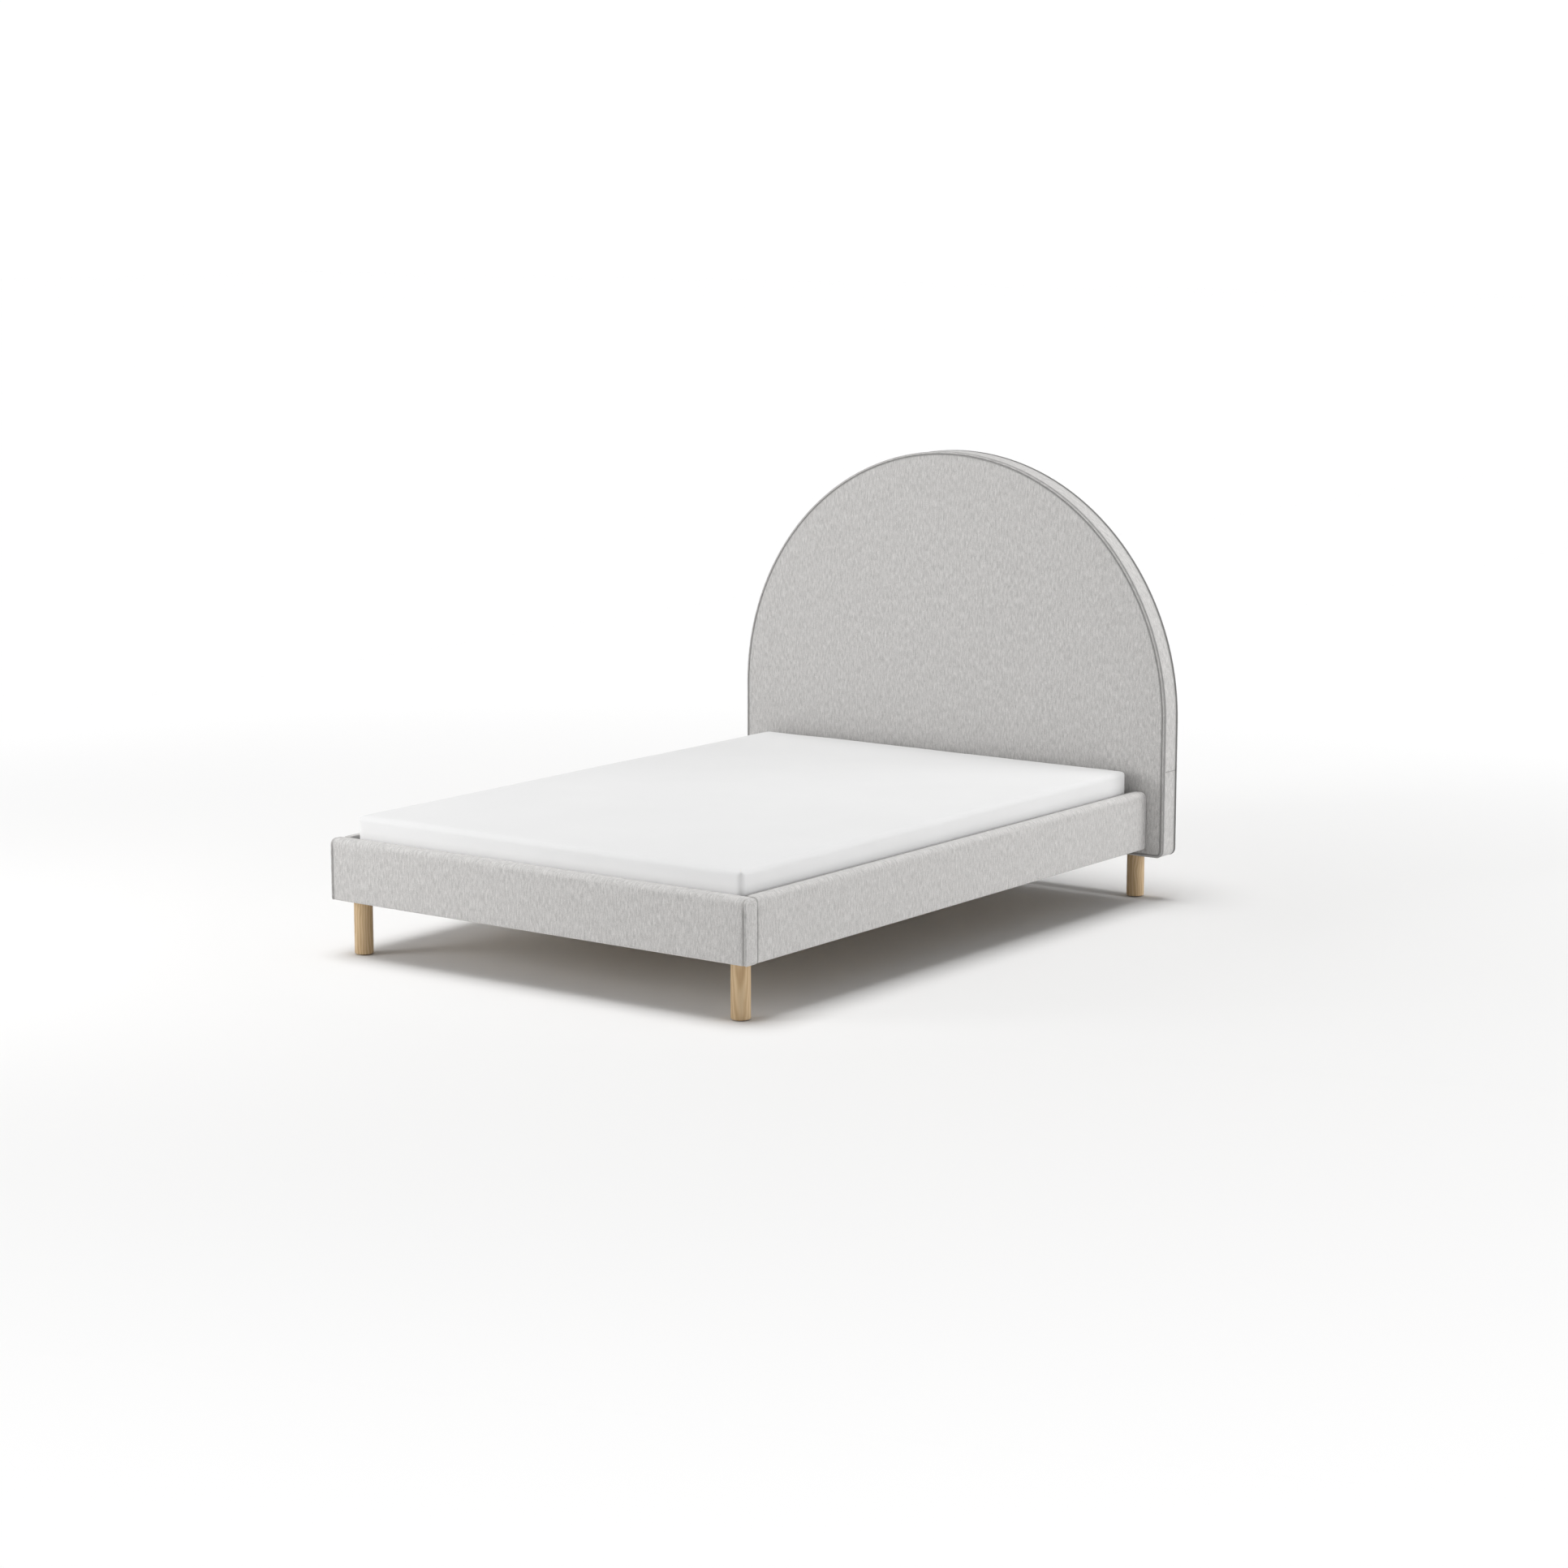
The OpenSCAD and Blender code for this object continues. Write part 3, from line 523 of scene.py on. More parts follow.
def rail_cover(name, side, seed):
    """The padded section carried along the rail. Every station has its own place along the rail and its
    own inset, which eases the cloth in at the seam and turns it round the end, where it closes flat onto
    a line down the middle."""
    section, outward, girth = padded_section(rail_width, rail_height, turned_in, lip_height,
                                             rail_top_round, rail_low_round, cloth_step)
    start, end = rail_low.y, rail_high.y
    corner = np.radians(np.linspace(0, 90, 12))
    body = np.concatenate([start + beside_seam,
                           np.linspace(start + 0.02, end - rail_end_top_round - cloth_step, 130)])
    turning = end - rail_end_top_round + rail_end_top_round * np.sin(corner)
    stations = np.concatenate([body, turning])[:, None]
    drop = rounded_off(stations, end, rail_end_top_round)
    rise = rounded_off(stations, end, rail_end_low_round)
    inset = rounded_off(stations, end, edge_ease)
    from_seam = stations - start
    from_end = end - stations
    height_share = np.clip(section[:, 1] / rail_height, 0, 1)
    on_face = 4 * height_share * (1 - height_share)
    pad = 0.0026 * eased(from_seam, 0.016) * eased(from_end, 0.03) * (0.45 + 0.55 * on_face)
    pad = pad + 0.0005 * ripple(girth, 0.03, seed) * np.exp(-from_seam / 0.014)
    pad = pad + 0.0004 * ripple(stations, 0.11, seed + 1) * on_face
    pad = np.maximum(pad - seam_depth * np.exp(-(from_seam / seam_reach) ** 2), most_sunk)
    pad = np.where(section[:, 0] > rail_width - turned_in - 0.001, np.minimum(pad, 0.0008), pad)
    upper = np.clip((section[:, 1] - 0.4 * rail_height) / (0.3 * rail_height), 0, 1)
    across = section[:, 0] + outward[:, 0] * pad
    upright = section[:, 1] + outward[:, 1] * pad - drop * upper + rise * (1 - upper)
    middle = rail_width / 2
    across = middle + (across - middle) * (1 - inset / middle)
    points = np.stack([side * (rail_high.x - across), np.broadcast_to(stations, across.shape),
                       rail_low.z + upright], -1)
    closing = np.linspace(0, 1, 6)[1:, None]
    rim = points[-1]
    rim_middle = rim.copy()
    rim_middle[:, 0] = side * (rail_high.x - middle)
    rim_middle[:, 2] = spine_height(rim, rail_low.z, middle)
    closed = rim[None] * (1 - closing[..., None]) + rim_middle[None] * closing[..., None]
    points = np.concatenate([points, closed])
    along = np.concatenate([stations[:, 0], end + closing[:, 0] * middle])
    measure = np.stack(np.broadcast_arrays(along[:, None], girth[None, :]), -1)
    inside = deep_inside(points, rail_low.z, rail_high.z)
    inside[..., 0] = side * (rail_high.x - middle)
    inside[..., 1] = np.minimum(inside[..., 1], end - rail_width)
    # Painted shade: darker along the seam at the footboard, and along the rail's inner top edge, where
    # the gap beside the mattress lies in shade.
    seam = seam_shade(along[:, None] - start, section, 0.5, 0.0050)
    painted_gap_shade = 0.9 * np.clip((section[None, :, 0] - rail_width + 0.021) / 0.004, 0, 1)
    return cloth_piece(name, points, measure, np.maximum(seam, painted_gap_shade), inside, grey_cloth)


for side, hand in ((-1, "left"), (1, "right")):
    cover = rail_cover(f"{hand}_rail_cloth", side, 11 if side > 0 else 17)
    weld(cover)
    thicken(cover, cloth_thickness)
    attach(cover, "frame")
    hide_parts(f"{hand}_rail_cover")


# ---------- footboard ----------
# The same padded board across the foot: pine inside, foam over it, and cloth over the foam. A
# separate strip of cloth caps each end and turns a little way round onto the face, in two seams.

pine_across_bed = wood("pine_across_the_bed", (0.60, 0.48, 0.34), (0.43, 0.32, 0.21), 0)
dress(pine_across_bed, "footboard_board")
dress(grey_foam, "footboard_foam")

foot_low, foot_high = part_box("footboard_cover")
foot_end_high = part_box("footboard_end_covers")[1]
foot_deep = foot_high.y - foot_low.y
foot_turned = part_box("footboard_board")[1].y - foot_high.y


def footboard_cloth():
    """The padded section carried across the bed between the end covers, sinking into a seam at each."""
    section, outward, girth = padded_section(foot_deep, rail_height, -foot_turned, lip_height,
                                             rail_top_round, rail_low_round, cloth_step)
    stations = np.concatenate([foot_low.x + beside_seam,
                               np.linspace(foot_low.x + 0.02, foot_high.x - 0.02, 120),
                               foot_high.x - beside_seam[::-1]])[:, None]
    from_seam = np.minimum(stations - foot_low.x, foot_high.x - stations)
    height_share = np.clip(section[:, 1] / rail_height, 0, 1)
    on_face = 4 * height_share * (1 - height_share)
    pad = 0.0028 * eased(from_seam, 0.014) * (0.45 + 0.55 * on_face)
    pad = pad + 0.0005 * ripple(girth, 0.028, 23) * np.exp(-from_seam / 0.014)
    pad = pad + 0.0004 * ripple(stations, 0.12, 29) * on_face
    pad = np.maximum(pad - seam_depth * np.exp(-(from_seam / seam_reach) ** 2), most_sunk)
    pad = np.where(section[:, 0] > foot_deep - 0.0095, np.minimum(pad, 0.0006), pad)
    points = np.stack([np.broadcast_to(stations, pad.shape),
                       foot_low.y + section[:, 0] + outward[:, 0] * pad,
                       foot_low.z + section[:, 1] + outward[:, 1] * pad], -1)
    measure = np.stack(np.broadcast_arrays(stations, girth[None, :]), -1)
    inside = deep_inside(points, foot_low.z, foot_high.z)
    inside[..., 1] = foot_low.y + foot_deep / 2
    # Painted shade along the seams at the end caps.
    seam = seam_shade(from_seam, section, 0.4, 0.0055)
    return cloth_piece("footboard_cloth", points, measure, seam, inside, grey_cloth)


def end_cap(side, seed):
    """The whole section round, over the last stretch of the footboard. Its top corner is rounded and its
    upright edges are eased, then it closes over the end onto a line down the middle. Pleats fan over the
    rounded corner."""
    corners = [(foot_deep / 2, 0), (0, 0), (0, rail_height), (foot_deep, rail_height), (foot_deep, 0),
               (foot_deep / 2, 0)]
    radii = [rail_low_round, rail_top_round, rail_top_round, rail_low_round]
    section, outward, girth = outline_points(corners, radii, cloth_step)
    start, end = foot_high.x, foot_end_high.x
    stations = (start + (end - start) * np.sin(np.linspace(0, np.pi / 2, 12)))[:, None]
    reach = end - start
    past = np.clip(stations - start, 0, reach)
    drop = reach - np.sqrt(reach**2 - past**2)
    rise = rounded_off(stations, end, rail_low_round)
    inset = rounded_off(stations, end, edge_ease)
    pad = 0.0016 * eased(past, 0.006) + 0.0004 * ripple(girth, 0.022, seed)
    pad = pad - seam_depth * np.exp(-(past / seam_reach) ** 2)
    on_top = np.clip((section[:, 1] - rail_height + 0.02) / 0.02, 0, 1)
    pleat_depth, pleat_pitch = 0.0011, 0.018
    pleats = np.abs(np.sin(girth * 2 * np.pi / pleat_pitch))
    pad = np.maximum(pad - pleat_depth * on_top * pleats * eased(past, reach), most_sunk)
    upper = np.clip((section[:, 1] - 0.4 * rail_height) / (0.3 * rail_height), 0, 1)
    middle = foot_deep / 2
    across = section[:, 0] + outward[:, 0] * pad
    across = middle + (across - middle) * (1 - inset / middle)
    upright = section[:, 1] + outward[:, 1] * pad - drop * upper + rise * (1 - upper)
    fullness = 0.0012
    swell = fullness * eased(past, reach)
    points = np.stack([side * np.broadcast_to(stations + swell, across.shape),
                       foot_low.y + across, foot_low.z + upright], -1)
    closing = np.linspace(0, 1, 8)[1:, None]
    rim = points[-1]
    rim_middle = rim.copy()
    rim_middle[:, 1] = foot_low.y + middle
    rim_middle[:, 0] = side * (end + 2 * fullness)
    rim_middle[:, 2] = spine_height(rim, foot_low.z, middle)
    closed = rim[None] * (1 - closing[..., None]) + rim_middle[None] * closing[..., None]
    closed[..., 0] = rim[None, :, 0] + side * fullness * np.sin(closing * np.pi / 2)
    closed[-1, :, 0] = rim_middle[:, 0]
    points = np.concatenate([points, closed])
    points[:, -1] = points[:, 0]
    along = np.concatenate([stations[:, 0], end + closing[:, 0] * middle])
    measure = np.stack(np.broadcast_arrays(along[:, None], girth[None, :]), -1)
    inside = deep_inside(points, foot_low.z, foot_high.z)
    inside[..., 0] = side * (start - 0.02)
    inside[..., 1] = foot_low.y + middle
    # Painted shade along the seam with the footboard's face.
    seam = seam_shade(along[:, None] - start, section, 0.4, 0.0050)
    name = "footboard_left_end_cloth" if side < 0 else "footboard_right_end_cloth"
    return cloth_piece(name, points, measure, seam, inside, grey_cloth)


foot_cloth = footboard_cloth()
thicken(foot_cloth, cloth_thickness)
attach(foot_cloth, "frame")
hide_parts("footboard_cover")
for side in (-1, 1):
    cap = end_cap(side, 31 + side)
    weld(cap)
    thicken(cap, cloth_thickness)
    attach(cap, "frame")
    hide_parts("footboard_end_covers")


# ---------- frame of the headboard ----------
# Two plywood boards on posts, battens and a curved former, glued and stapled. All of it is hidden
# by the foam and the cloth.

plywood = wood("plywood", (0.70, 0.54, 0.34), (0.55, 0.39, 0.21), 2, 45.0)
pine_upright = wood("pine_upright", (0.60, 0.48, 0.34), (0.43, 0.32, 0.21), 2)
dress(plywood, "headboard_front_board", "headboard_back_board", "headboard_arch_former")
dress(pine_upright, "headboard_left_post", "headboard_right_post")
dress(pine_across_bed, "headboard_cross_battens")
dress(grey_foam, "headboard_front_foam", "headboard_edge_foam", "headboard_back_foam")


# ---------- front and back panels of the headboard ----------
# One width of the slub cloth on each face, drawn over the foam and sewn to the piping all round.
# The front one is softly crowned, fullest a hand's breadth in from the seam.

head_low, head_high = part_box("headboard_edge_cover")
panel_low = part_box("headboard_front_cover")[0]
pipe_low, pipe_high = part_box("headboard_front_piping")
back_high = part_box("headboard_back_cover")[1]
arch_radius = head_high.x
spring = head_high.z - arch_radius
arch_corner = 0.022
pipe_radius = (pipe_high.y - pipe_low.y) / 2
panel_inset = pipe_radius + 0.0015
front_crown, back_crown = 0.0010, 0.0008
front_pressure, front_most = 0.12, 0.0016


def edge_distance(x, z, radius, low, corner):
    """How far a point lies inside the headboard's outline, a half circle over a straight panel with
    rounded lower corners: the least of its distances to the arc, sides, bottom and corners."""
    from_arc = radius - np.hypot(x, np.maximum(z - spring, 0))
    from_bottom = z - low
    past_x = np.maximum(np.abs(x) - (radius - corner), 0)
    past_z = np.maximum(low + corner - z, 0)
    from_corner = corner - np.hypot(past_x, past_z)
    near_corner = (past_x > 0) & (past_z > 0)
    return np.maximum(np.where(near_corner, from_corner, np.minimum(from_arc, from_bottom)), 0)


def panel(name, inset, face_y, facing, crown, columns=150, rows=110):
    """Upright columns of points, closer together towards the sides, each running from the bottom edge to
    the arch. The face turns back in a quarter round at the seam and rises to its crown inside it."""
    radius, low, corner = arch_radius - inset, head_low.z + inset, arch_corner - inset
    swing = np.linspace(-np.pi / 2, np.pi / 2, columns)[:, None]
    x = radius * np.sin(swing)
    past = np.clip(np.abs(x) - (radius - corner), 0, corner)
    bottom = low + corner - np.sqrt(corner**2 - past**2)
    top = spring + radius * np.cos(swing)
    share = np.linspace(0, 1, rows)[None, :]
    turn = 2 * np.pi
    share = share + 0.11 * np.sin(2 * turn * share) / (2 * turn) - 0.9 * np.sin(turn * share) / turn
    z = bottom + share * (top - bottom)
    x = np.broadcast_to(x, z.shape)
    inwards = edge_distance(x, z, radius, low, corner)
    around = np.arctan2(x, z - spring) * radius
    turned_back = 0.0050
    out = turned_back * eased(inwards, 0.006) - turned_back + crown * (1 - np.exp(-inwards / 0.035))
    out = out + 0.0007 * ripple(around, 0.045, 41) * np.exp(-inwards / 0.022) * eased(inwards, 0.012)
    points = np.stack([x, face_y + facing * out, z], -1)
    measure = np.stack([x, z], -1)
    inside = points.copy()
    inside[..., 1] -= facing * 0.05
    # Painted shade in the seam against the piping, all round the panel.
    painted_shade = 0.85 * np.exp(-(np.maximum(inwards - 0.0005, 0) / 0.0034) ** 2)
    return cloth_piece(name, points, measure, painted_shade, inside, grey_cloth), inwards.ravel()


front_panel, front_inwards = panel("headboard_front_cloth", panel_inset, panel_low.y, -1, front_crown)
held = np.where(front_inwards < 0.004, 1.0, np.where(front_inwards < 0.02, 0.5, 0.0))
settle(front_panel, held, front_pressure, front_most)
thicken(front_panel, cloth_thickness)
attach(front_panel, "frame")
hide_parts("headboard_front_cover")

back_panel = panel("headboard_back_cloth", panel_inset, back_high.y, 1, back_crown, 110, 80)[0]
thicken(back_panel, cloth_thickness)
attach(back_panel, "frame")
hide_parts("headboard_back_cover")


# ---------- edge strip of the headboard ----------
# A long strip of the same cloth round the edge, between the two lines of piping, over thin foam. It
# is joined from lengths: a cross seam shows low on each side.

def arch_path(inset, step):
    """Closed line round the headboard, inset from the edge strip's outline: up the right side, over the
    half circle, down the left and back along the bottom, with its outward directions and its length."""
    radius, low, corner = arch_radius - inset, head_low.z + inset, arch_corner - inset
    quarter = np.radians(np.linspace(0, 90, 9))
    swing = np.linspace(0, np.pi, 2 * int(radius * np.pi / step / 2) + 1)
    side_z = np.linspace(low + corner, spring, int((spring - low - corner) / step))
    beside_cross = np.array([-0.004, -0.002, 0, 0.002, 0.004])
    side_z = np.unique(np.concatenate([side_z, cross_seam_z + beside_cross]))
    base_x = np.linspace(corner - radius, radius - corner, int(2 * radius / step / 2))
    right = np.stack([np.full_like(side_z, radius), side_z], 1)
    arch = np.stack([radius * np.cos(swing), spring + radius * np.sin(swing)], 1)
    left = right[::-1] * (-1, 1)
    left_corner = np.stack([corner - radius - corner * np.cos(quarter),
                            low + corner - corner * np.sin(quarter)], 1)
    base = np.stack([base_x, np.full_like(base_x, low)], 1)
    right_corner = left_corner[::-1] * (-1, 1)
    line = np.concatenate([right[:-1], arch, left[1:-1], left_corner, base[1:-1], right_corner[:-1]])
    line = np.concatenate([line, line[:1]])
    run = np.roll(line[:-1], -1, 0) - np.roll(line[:-1], 1, 0)
    run /= np.linalg.norm(run, axis=1)[:, None]
    outward = np.stack([run[:, 1], -run[:, 0]], 1)
    outward = np.concatenate([outward, outward[:1]])
    length = np.concatenate([[0], np.cumsum(np.linalg.norm(np.diff(line, axis=0), axis=1))])
    return line, outward, length


cross_seam_z = 0.41
strip_path, strip_outward, strip_length = arch_path(0.0, 0.012)
strip_front, strip_back = pipe_low.y + pipe_radius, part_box("headboard_back_piping")[0].y + pipe_radius
strip_y = np.concatenate([strip_front + beside_seam,
                          np.linspace(strip_front, strip_back, 9)[2:-2],
                          strip_back - beside_seam[::-1]])
from_pipe = np.minimum(strip_y - strip_front, strip_back - strip_y)[None, :]
from_cross = np.abs(strip_path[:, 1] - cross_seam_z)[:, None]
from_cross = np.where(np.abs(strip_path[:, :1]) > arch_radius - 0.001, from_cross, 1.0)
strip_swell, strip_sewn_in = 0.0040, 0.0030
strip_out = strip_swell * eased(from_pipe, 0.012) - strip_sewn_in
strip_out = strip_out + 0.0005 * ripple(strip_length[:, None], 0.05, 53) * np.exp(-from_pipe / 0.012)
strip_out = np.maximum(strip_out - seam_depth * np.exp(-(from_cross / 0.002) ** 2),
                       np.where(from_pipe > 0.0035, most_sunk, -0.004))
strip_out[-1] = strip_out[0]
strip_points = np.stack([strip_path[:, :1] + strip_outward[:, :1] * strip_out,
                         np.broadcast_to(strip_y, strip_out.shape),
                         strip_path[:, 1:] + strip_outward[:, 1:] * strip_out], -1)
strip_inside = strip_points.copy()
strip_inside[..., 0] *= 0.9
strip_inside[..., 2] = spring + 0.9 * (strip_inside[..., 2] - spring)
strip_measure = np.stack(np.broadcast_arrays(strip_y[None, :], strip_length[:, None]), -1)
# Painted shade beside the two lines of piping, wider on the back one, and in the cross seams.
seam_shade_width = np.where(strip_y < (strip_front + strip_back) / 2, 0.0030, 0.0060)[None, :]
strip_painted_shade = np.exp(-(np.maximum(from_pipe - 0.0045, 0) / seam_shade_width) ** 2)
strip_painted_shade = np.maximum(strip_painted_shade, 0.6 * np.exp(-(from_cross / 0.0016) ** 2))
edge_strip = cloth_piece("headboard_edge_cloth", strip_points, strip_measure, strip_painted_shade,
                         strip_inside, grey_cloth)
weld(edge_strip)
thicken(edge_strip, cloth_thickness)
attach(edge_strip, "frame")
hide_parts("headboard_edge_cover")


# ---------- piping of the headboard ----------
# A cord in a sleeve of the same cloth, sewn into the seam on each side of the edge strip.

# The sleeve has the slub cloth's colour, 8% darker: painted shade.
piping_cloth = slub_cloth("piping_cloth", tuple(0.92 * c for c in cloth_grey))


def piping(name, y, shaded):
    """A round tube along the closed line. Its sleeve is a little uneven where it was sewn, with painted
    shade in the seams on its two sides, and over the whole tube as much as shaded gives."""
    line, outward, length = arch_path(arch_radius - (pipe_high.x - pipe_radius), 0.010)
    turn = np.linspace(0, 2 * np.pi, 17)[None, :]
    radius = pipe_radius * (0.985 + 0.03 * ripple(length[:, None], 0.02, 61))
    radius[-1] = radius[0]
    out = radius * np.cos(turn)
    points = np.stack([line[:, :1] + outward[:, :1] * out, y + radius * np.sin(turn),
                       line[:, 1:] + outward[:, 1:] * out], -1)
    centre = np.stack([line[:, 0], np.full(len(line), y), line[:, 1]], -1)[:, None, :]
    inside = np.broadcast_to(centre, points.shape)
    measure = np.stack(np.broadcast_arrays(turn * pipe_radius, length[:, None]), -1)
    inner, outer = np.clip(-np.cos(turn), 0, 1) ** 2, np.clip(np.cos(turn), 0, 1) ** 4
    painted_shade = np.broadcast_to(np.maximum(np.maximum(0.9 * inner, 0.8 * outer), shaded), points.shape[:2])
    tube = cloth_piece(name, points, measure, painted_shade, inside, piping_cloth)
    weld(tube)
    return tube


for which in ("front", "back"):
    pipe_y = strip_front if which == "front" else strip_back
    # The back piping takes painted shade over the whole tube, at 0.8.
    pipe = piping(f"headboard_{which}_piping_cloth", pipe_y, 0.0 if which == "front" else 0.8)
    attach(pipe, "frame")
    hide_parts(f"headboard_{which}_piping")


# ---------- corner blocks, bolts and brackets ----------
# Glued beech blocks hold the rails to the footboard with zinc-plated bolts. Black steel angles hold
# the rails to the headboard's posts.

def metal(name, colour, roughness, coat=0.0):
    """Bare metal, or with a coat a painted or plastic face: a faint change of tone, slightly uneven."""
    material, tree_nodes, links, shader = fresh(name, roughness, 0.5)
    shader.inputs["Metallic"].default_value = 1.0 if coat == 0 else 0.0
    place = tree_nodes.new("ShaderNodeTexCoord").outputs["Object"]
    grain = noise(tree_nodes, links, place, (300.0, 300.0, 300.0))
    patches = noise(tree_nodes, links, place, (25.0, 25.0, 25.0))
    mixed = weigh(tree_nodes, links, grain, patches, 0.5)
    low = [c * 0.82 for c in colour]
    links.new(ramp(tree_nodes, links, mixed, [(0.35, low), (0.65, colour)]), shader.inputs["Base Color"])
    raised(tree_nodes, links, shader, grain, 0.0002, 0.3)
    return material


plated_steel = metal("plated_steel", (0.62, 0.62, 0.60), 0.32)
black_steel = metal("black_steel", (0.030, 0.030, 0.032), 0.45, coat=1.0)
dress(pine_upright, "left_corner_block", "right_corner_block")
dress(plated_steel, "corner_bolts", "head_bracket_bolts", "ledge_screws", "hanger_screws", "leg_bolts")
dress(black_steel, "left_head_bracket", "right_head_bracket", "beam_hangers", "middle_leg_plate")


# ---------- ledges, middle beam and slats ----------
# Pine ledges screwed inside the rails and a pine beam on two steel hangers carry twelve sawn pine
# slats, which two woven straps keep apart.

def webbing(name, colour):
    """Woven strap: fine ribs across its length."""
    material, tree_nodes, links, shader = fresh(name, 0.85, 0.3)
    place = tree_nodes.new("ShaderNodeTexCoord").outputs["Object"]
    ribs = noise(tree_nodes, links, place, (420.0, 900.0, 900.0))
    patches = noise(tree_nodes, links, place, (40.0, 12.0, 40.0))
    mixed = weigh(tree_nodes, links, ribs, patches, 0.65)
    low = [c * 0.7 for c in colour]
    links.new(ramp(tree_nodes, links, mixed, [(0.35, low), (0.65, colour)]), shader.inputs["Base Color"])
    raised(tree_nodes, links, shader, ribs, 0.0006, 0.6)
    return material


slat_wood = wood("slat_pine", (0.62, 0.52, 0.39), (0.46, 0.36, 0.25), 0, 60.0)
dress(pine_along_bed, "left_ledge", "right_ledge", "middle_beam")
dress(webbing("strap_webbing", (0.80, 0.79, 0.75)), "slat_straps")
dress(slat_wood, *[f"slat_{number}" for number in range(1, 13)])


# ---------- legs ----------
# Round legs turned from pale beech, oiled. Each one screws onto a bolt and stands on a small glide.

def turned_beech(name):
    """Beech turned along its grain. Growth rings lean a little, so they run out on the round face as
    long pointed arches, with fine dark flecks and fibres along the leg."""
    material, tree_nodes, links, shader = fresh(name, 0.5, 0.4)
    place = tree_nodes.new("ShaderNodeTexCoord").outputs["Object"]
    bend = noise(tree_nodes, links, place, (16.0, 16.0, 5.0), detail=2.0)
    lean = tree_nodes.new("ShaderNodeMapping")
    lean.inputs["Rotation"].default_value = (0.10, 0.13, 0.0)
    lean.inputs["Scale"].default_value = (1, 1, 0.35)
    links.new(place, lean.inputs["Vector"])
    shift = tree_nodes.new("ShaderNodeVectorMath")
    shift.operation = "MULTIPLY_ADD"
    links.new(bend, shift.inputs[0])
    shift.inputs[1].default_value = (0.028, 0.022, 0.0)
    links.new(lean.outputs["Vector"], shift.inputs[2])
    rings = tree_nodes.new("ShaderNodeTexWave")
    rings.wave_type = "RINGS"
    rings.rings_direction = "Z"
    rings.inputs["Scale"].default_value = 42.0
    rings.inputs["Distortion"].default_value = 2.2
    rings.inputs["Detail"].default_value = 2.0
    links.new(shift.outputs["Vector"], rings.inputs["Vector"])
    fibre = noise(tree_nodes, links, place, (850.0, 850.0, 16.0), detail=2.0)
    tone = noise(tree_nodes, links, place, (20.0, 20.0, 4.0), detail=2.0)
    figure = weigh(tree_nodes, links, rings.outputs["Fac"], fibre, 0.42)
    mixed = weigh(tree_nodes, links, figure, tone, 0.75)
    stops = [(0.22, (0.43, 0.275, 0.135)), (0.48, (0.565, 0.40, 0.225)), (0.7, (0.64, 0.48, 0.29))]
    links.new(ramp(tree_nodes, links, mixed, stops), shader.inputs["Base Color"])
    raised(tree_nodes, links, shader, fibre, 0.0003, 0.4)
    return material


beech = turned_beech("turned_beech")
dress(beech, "front_left_leg", "front_right_leg", "back_left_leg", "back_right_leg", "middle_leg")
glide_plastic = metal("glide_plastic", (0.20, 0.19, 0.18), 0.55, coat=1.0)
dress(glide_plastic, "leg_glides")


# ---------- mattress ----------
# A foam block in a plain white knitted cover, closed by a zip round its sides a third of the way up.
# It lies loose on the slats, and its edges are soft and round.

pale_foam = foam("pale_foam", (0.80, 0.76, 0.62))
dress(pale_foam, "mattress_core")
mattress_low, mattress_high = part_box("mattress_cover")
mattress_round = 0.022
mattress_crown = 0.0035
mattress_pressure, mattress_most = 0.06, 0.002
zip_height, zip_depth = 0.045, 0.0016
beside_zip = np.array([-0.004, -0.0015, 0, 0.0015, 0.004])


def knit(name, colour, painted_side_light):
    """White knitted cloth: rows of fine loops, with a very slight change of tone. Its sides are painted
    paler than its top, as painted light, and it takes painted shade where its painted-shade mark is set."""
    material, tree_nodes, links, shader = fresh(name, 0.85, 0.3)
    shader.inputs["Sheen Weight"].default_value = 0.15
    place = tree_nodes.new("ShaderNodeTexCoord").outputs["Object"]
    loops = noise(tree_nodes, links, place, (520.0, 520.0, 520.0), detail=2.0)
    patches = noise(tree_nodes, links, place, (4.0, 4.0, 6.0), detail=2.0)
    mixed = weigh(tree_nodes, links, loops, patches, 0.6)
    slight = 0.965
    top = ramp(tree_nodes, links, mixed, [(0.35, [c * slight for c in colour]), (0.65, colour)])
    sides = ramp(tree_nodes, links, mixed, [(0.35, [c * slight for c in painted_side_light]), (0.65, painted_side_light)])
    # Painted light: the sides take a paler colour than the top.
    both = marked(tree_nodes, links, "painted_side_light", top, sides)
    # Painted shade along the zip, down to 0.55 of the top's colour.
    shaded = marked(tree_nodes, links, "painted_shade", both, [c * 0.55 for c in colour])
    links.new(shaded, shader.inputs["Base Color"])
    raised(tree_nodes, links, shader, loops, 0.0005, 0.4)
    return material


def block_side(low, high, step, rounded):
    """Places along one side of a block: close together in the rounded edges and step apart between."""
    edge = rounded * (1 - np.cos(np.linspace(0, np.pi / 2, 7)))
    middle = np.linspace(low + rounded, high - rounded, max(2, int((high - low) / step)))
    return np.concatenate([low + edge[:-1], middle, high - edge[-2::-1]])


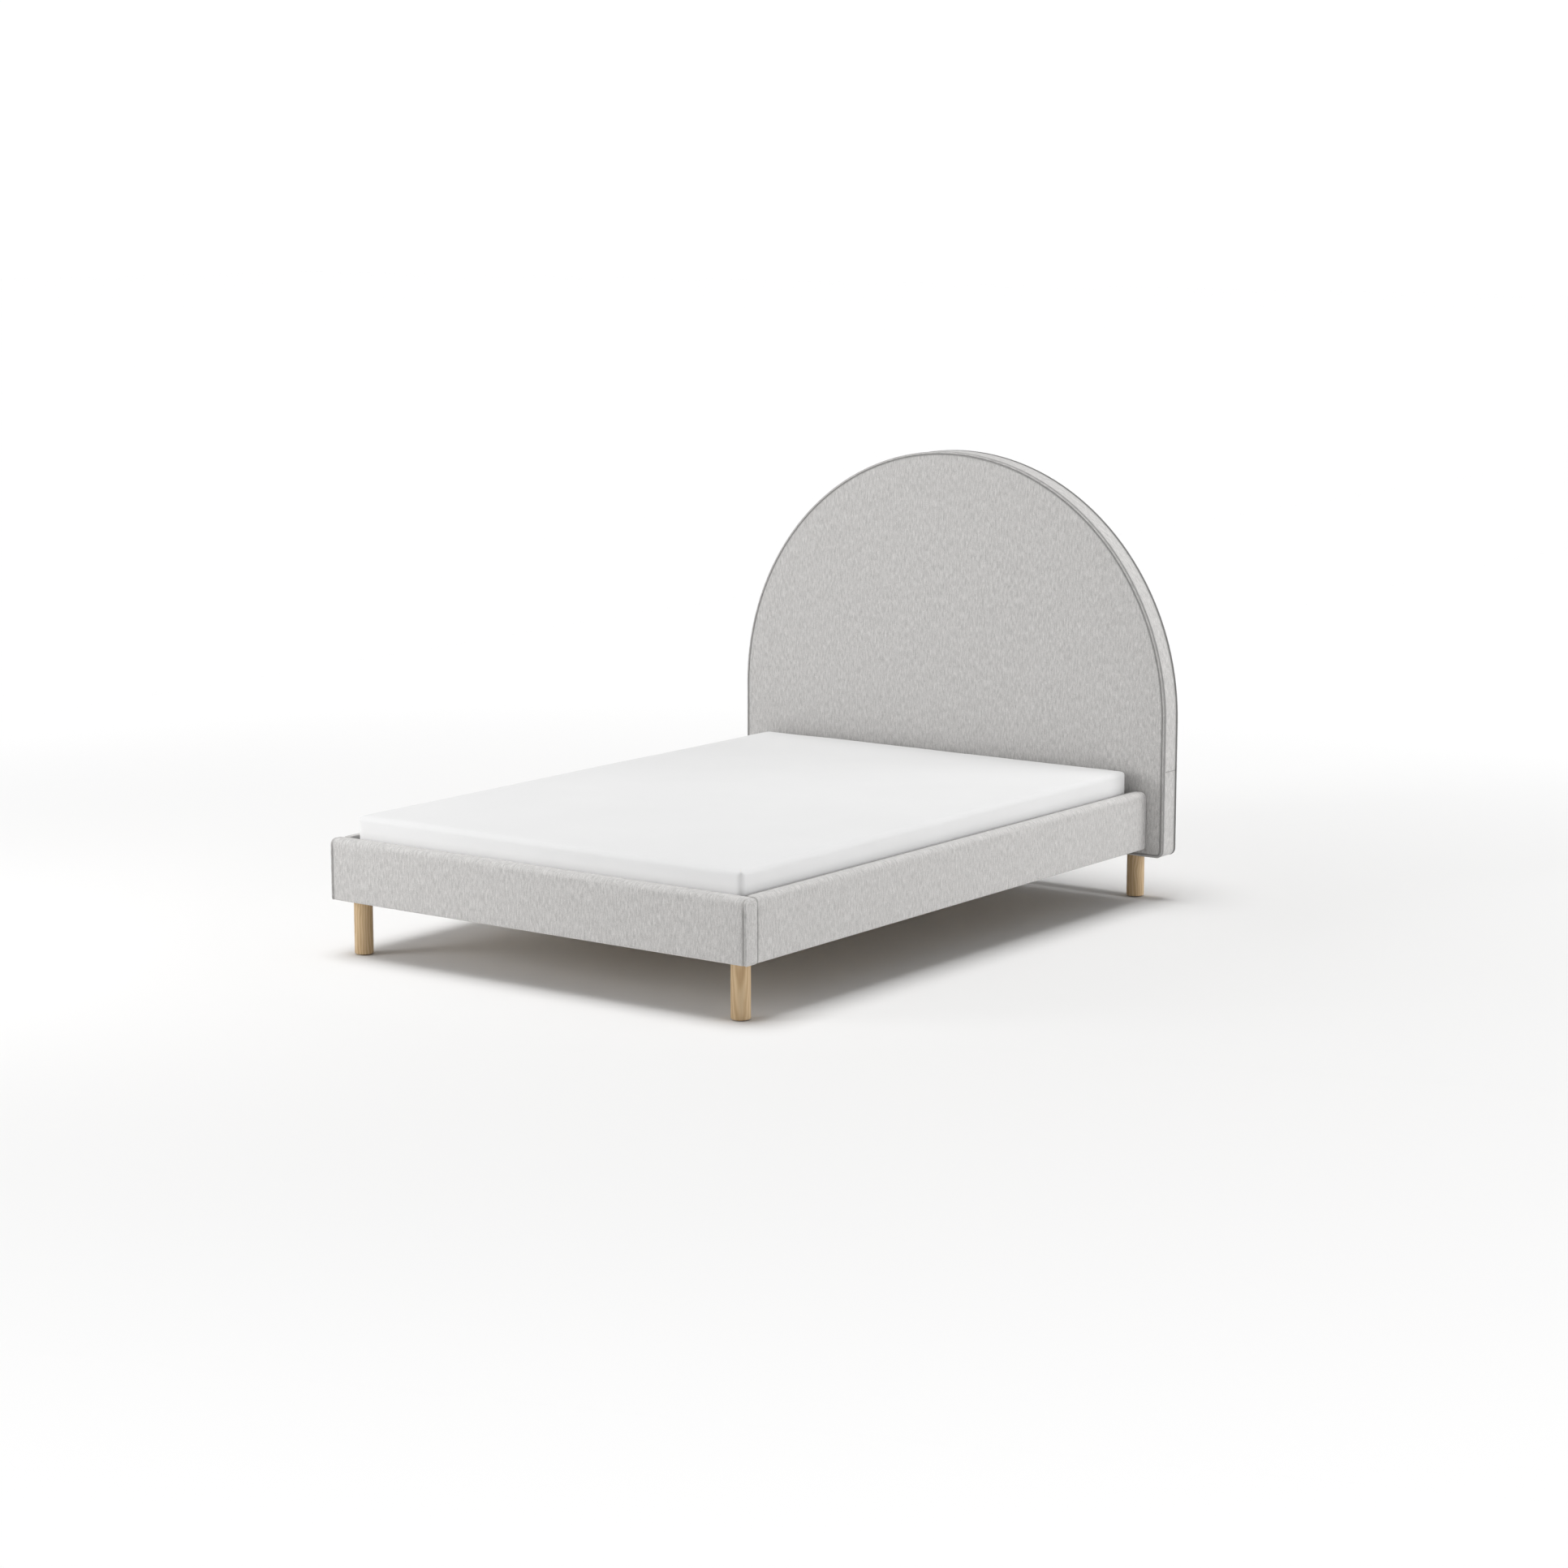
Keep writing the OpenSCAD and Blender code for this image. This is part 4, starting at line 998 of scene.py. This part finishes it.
def soft_block(name, low, high, rounded, step, material):
    """Six grids over the faces of a block, joined at their edges. Each point is moved to lie a rounded
    edge's radius from a smaller block inside, by the greatest of its distances seen along the three
    axes, blended where two of them are nearly equal."""
    low, high = np.array(low), np.array(high)
    axes = [block_side(low[k], high[k], step, rounded) for k in range(3)]
    axes[2] = np.unique(np.concatenate([axes[2], low[2] + zip_height + beside_zip]))
    blend = 24
    faces = []
    for k in range(3):
        first, second = [j for j in range(3) if j != k]
        a, b = np.meshgrid(axes[first], axes[second], indexing="ij")
        for level in (low[k], high[k]):
            grid = np.empty(a.shape + (3,))
            grid[..., first], grid[..., second], grid[..., k] = a, b, level
            faces.append(grid)
    shape = bmesh.new()
    for grid in faces:
        kernel = np.clip(grid, low + rounded, high - rounded)
        away = grid - kernel
        pairs = np.stack([np.hypot(away[..., i], away[..., j]) for i, j in ((0, 1), (1, 2), (0, 2))], -1)
        away /= rounded * ((pairs / rounded) ** blend).sum(-1, keepdims=True) ** (1 / blend)
        rounded_grid = kernel + away * rounded
        index = np.arange(grid.shape[0] * grid.shape[1]).reshape(grid.shape[:2])
        corners = [index[:-1, :-1], index[1:, :-1], index[1:, 1:], index[:-1, 1:]]
        quads = np.stack(corners, -1).reshape(-1, 4)
        patch = bpy.data.meshes.new("patch")
        patch.from_pydata(rounded_grid.reshape(-1, 3).tolist(), [], quads.tolist())
        shape.from_mesh(patch)
        bpy.data.meshes.remove(patch)
    bmesh.ops.remove_doubles(shape, verts=shape.verts, dist=2e-5)
    bmesh.ops.recalc_face_normals(shape, faces=shape.faces)
    mesh = bpy.data.meshes.new(name)
    shape.to_mesh(mesh)
    shape.free()
    mesh.materials.append(material)
    mesh.shade_smooth()
    piece = bpy.data.objects.new(name, mesh)
    bpy.context.scene.collection.objects.link(piece)
    return piece


def reshape(piece, change):
    """Moves every point of a piece at once: change takes all the points and gives where they go."""
    points = np.empty(len(piece.data.vertices) * 3, np.float32)
    piece.data.vertices.foreach_get("co", points)
    points = change(points.reshape(-1, 3).astype(float))
    piece.data.vertices.foreach_set("co", points.astype(np.float32).ravel())
    piece.data.update()
    return points


def crowned(points):
    """The top rises to a low crown and the sides draw in a little at the zip."""
    low, high = np.array(mattress_low), np.array(mattress_high)
    share = (points - low) / (high - low)
    from_sides = np.clip(4 * share * (1 - share), 0, 1)
    plan = from_sides[:, 0] * from_sides[:, 1]
    points[:, 2] += mattress_crown * (1 - (1 - plan) ** 4) * np.clip((share[:, 2] - 0.5) * 2, 0, 1) ** 2
    zip_pull = zip_depth * np.exp(-((points[:, 2] - low[2] - zip_height) / 0.0025) ** 2)
    centre = (low + high) / 2
    for axis in (0, 1):
        outer = np.abs(points[:, axis] - centre[axis]) > (high - low)[axis] / 2 - 0.004
        points[:, axis] -= np.where(outer, np.sign(points[:, axis] - centre[axis]) * zip_pull, 0)
    return points


# The top's colour is darker than the sides': painted light, paler on the sides.
white_knit = knit("white_knit", (0.735, 0.735, 0.735), (0.87, 0.87, 0.87))
mattress = soft_block("mattress_cloth", mattress_low + Vector((0.001, 0.001, 0)),
                      mattress_high - Vector((0.001, 0.001, 0.002)), mattress_round, 0.024, white_knit)
mattress_points = reshape(mattress, crowned)
rests = mattress_points[:, 2] < mattress_low.z + 0.06
settle(mattress, np.where(rests, 1.0, 0.0), mattress_pressure, mattress_most)
# Painted shade in a thin line along the zip's groove.
zip_shade_layer = mattress.data.attributes.new("painted_shade", "FLOAT", "POINT")
zip_shade = np.exp(-((mattress_points[:, 2] - mattress_low.z - zip_height) / 0.0012) ** 2)
zip_shade_layer.data.foreach_set("value", zip_shade.astype(np.float32))
# Painted light: the sides, from below the top's rounded edge, take the paler colour.
painted_side_light = mattress.data.attributes.new("painted_side_light", "FLOAT", "POINT")
side_light_share = np.clip((mattress_high.z - 0.010 - mattress_points[:, 2]) / 0.022, 0, 1)
painted_side_light.data.foreach_set("value", side_light_share.astype(np.float32))
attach(mattress, "mattress")
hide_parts("mattress_cover")


# ---------- right softbox on the bed ----------
# The right softbox is flagged off the floor: it lights the bed alone, and the shadow stays dark.

bed_alone = bpy.data.collections.new("bed_alone")
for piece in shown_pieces():
    bed_alone.objects.link(piece)
right_softbox.light_linking.receiver_collection = bed_alone
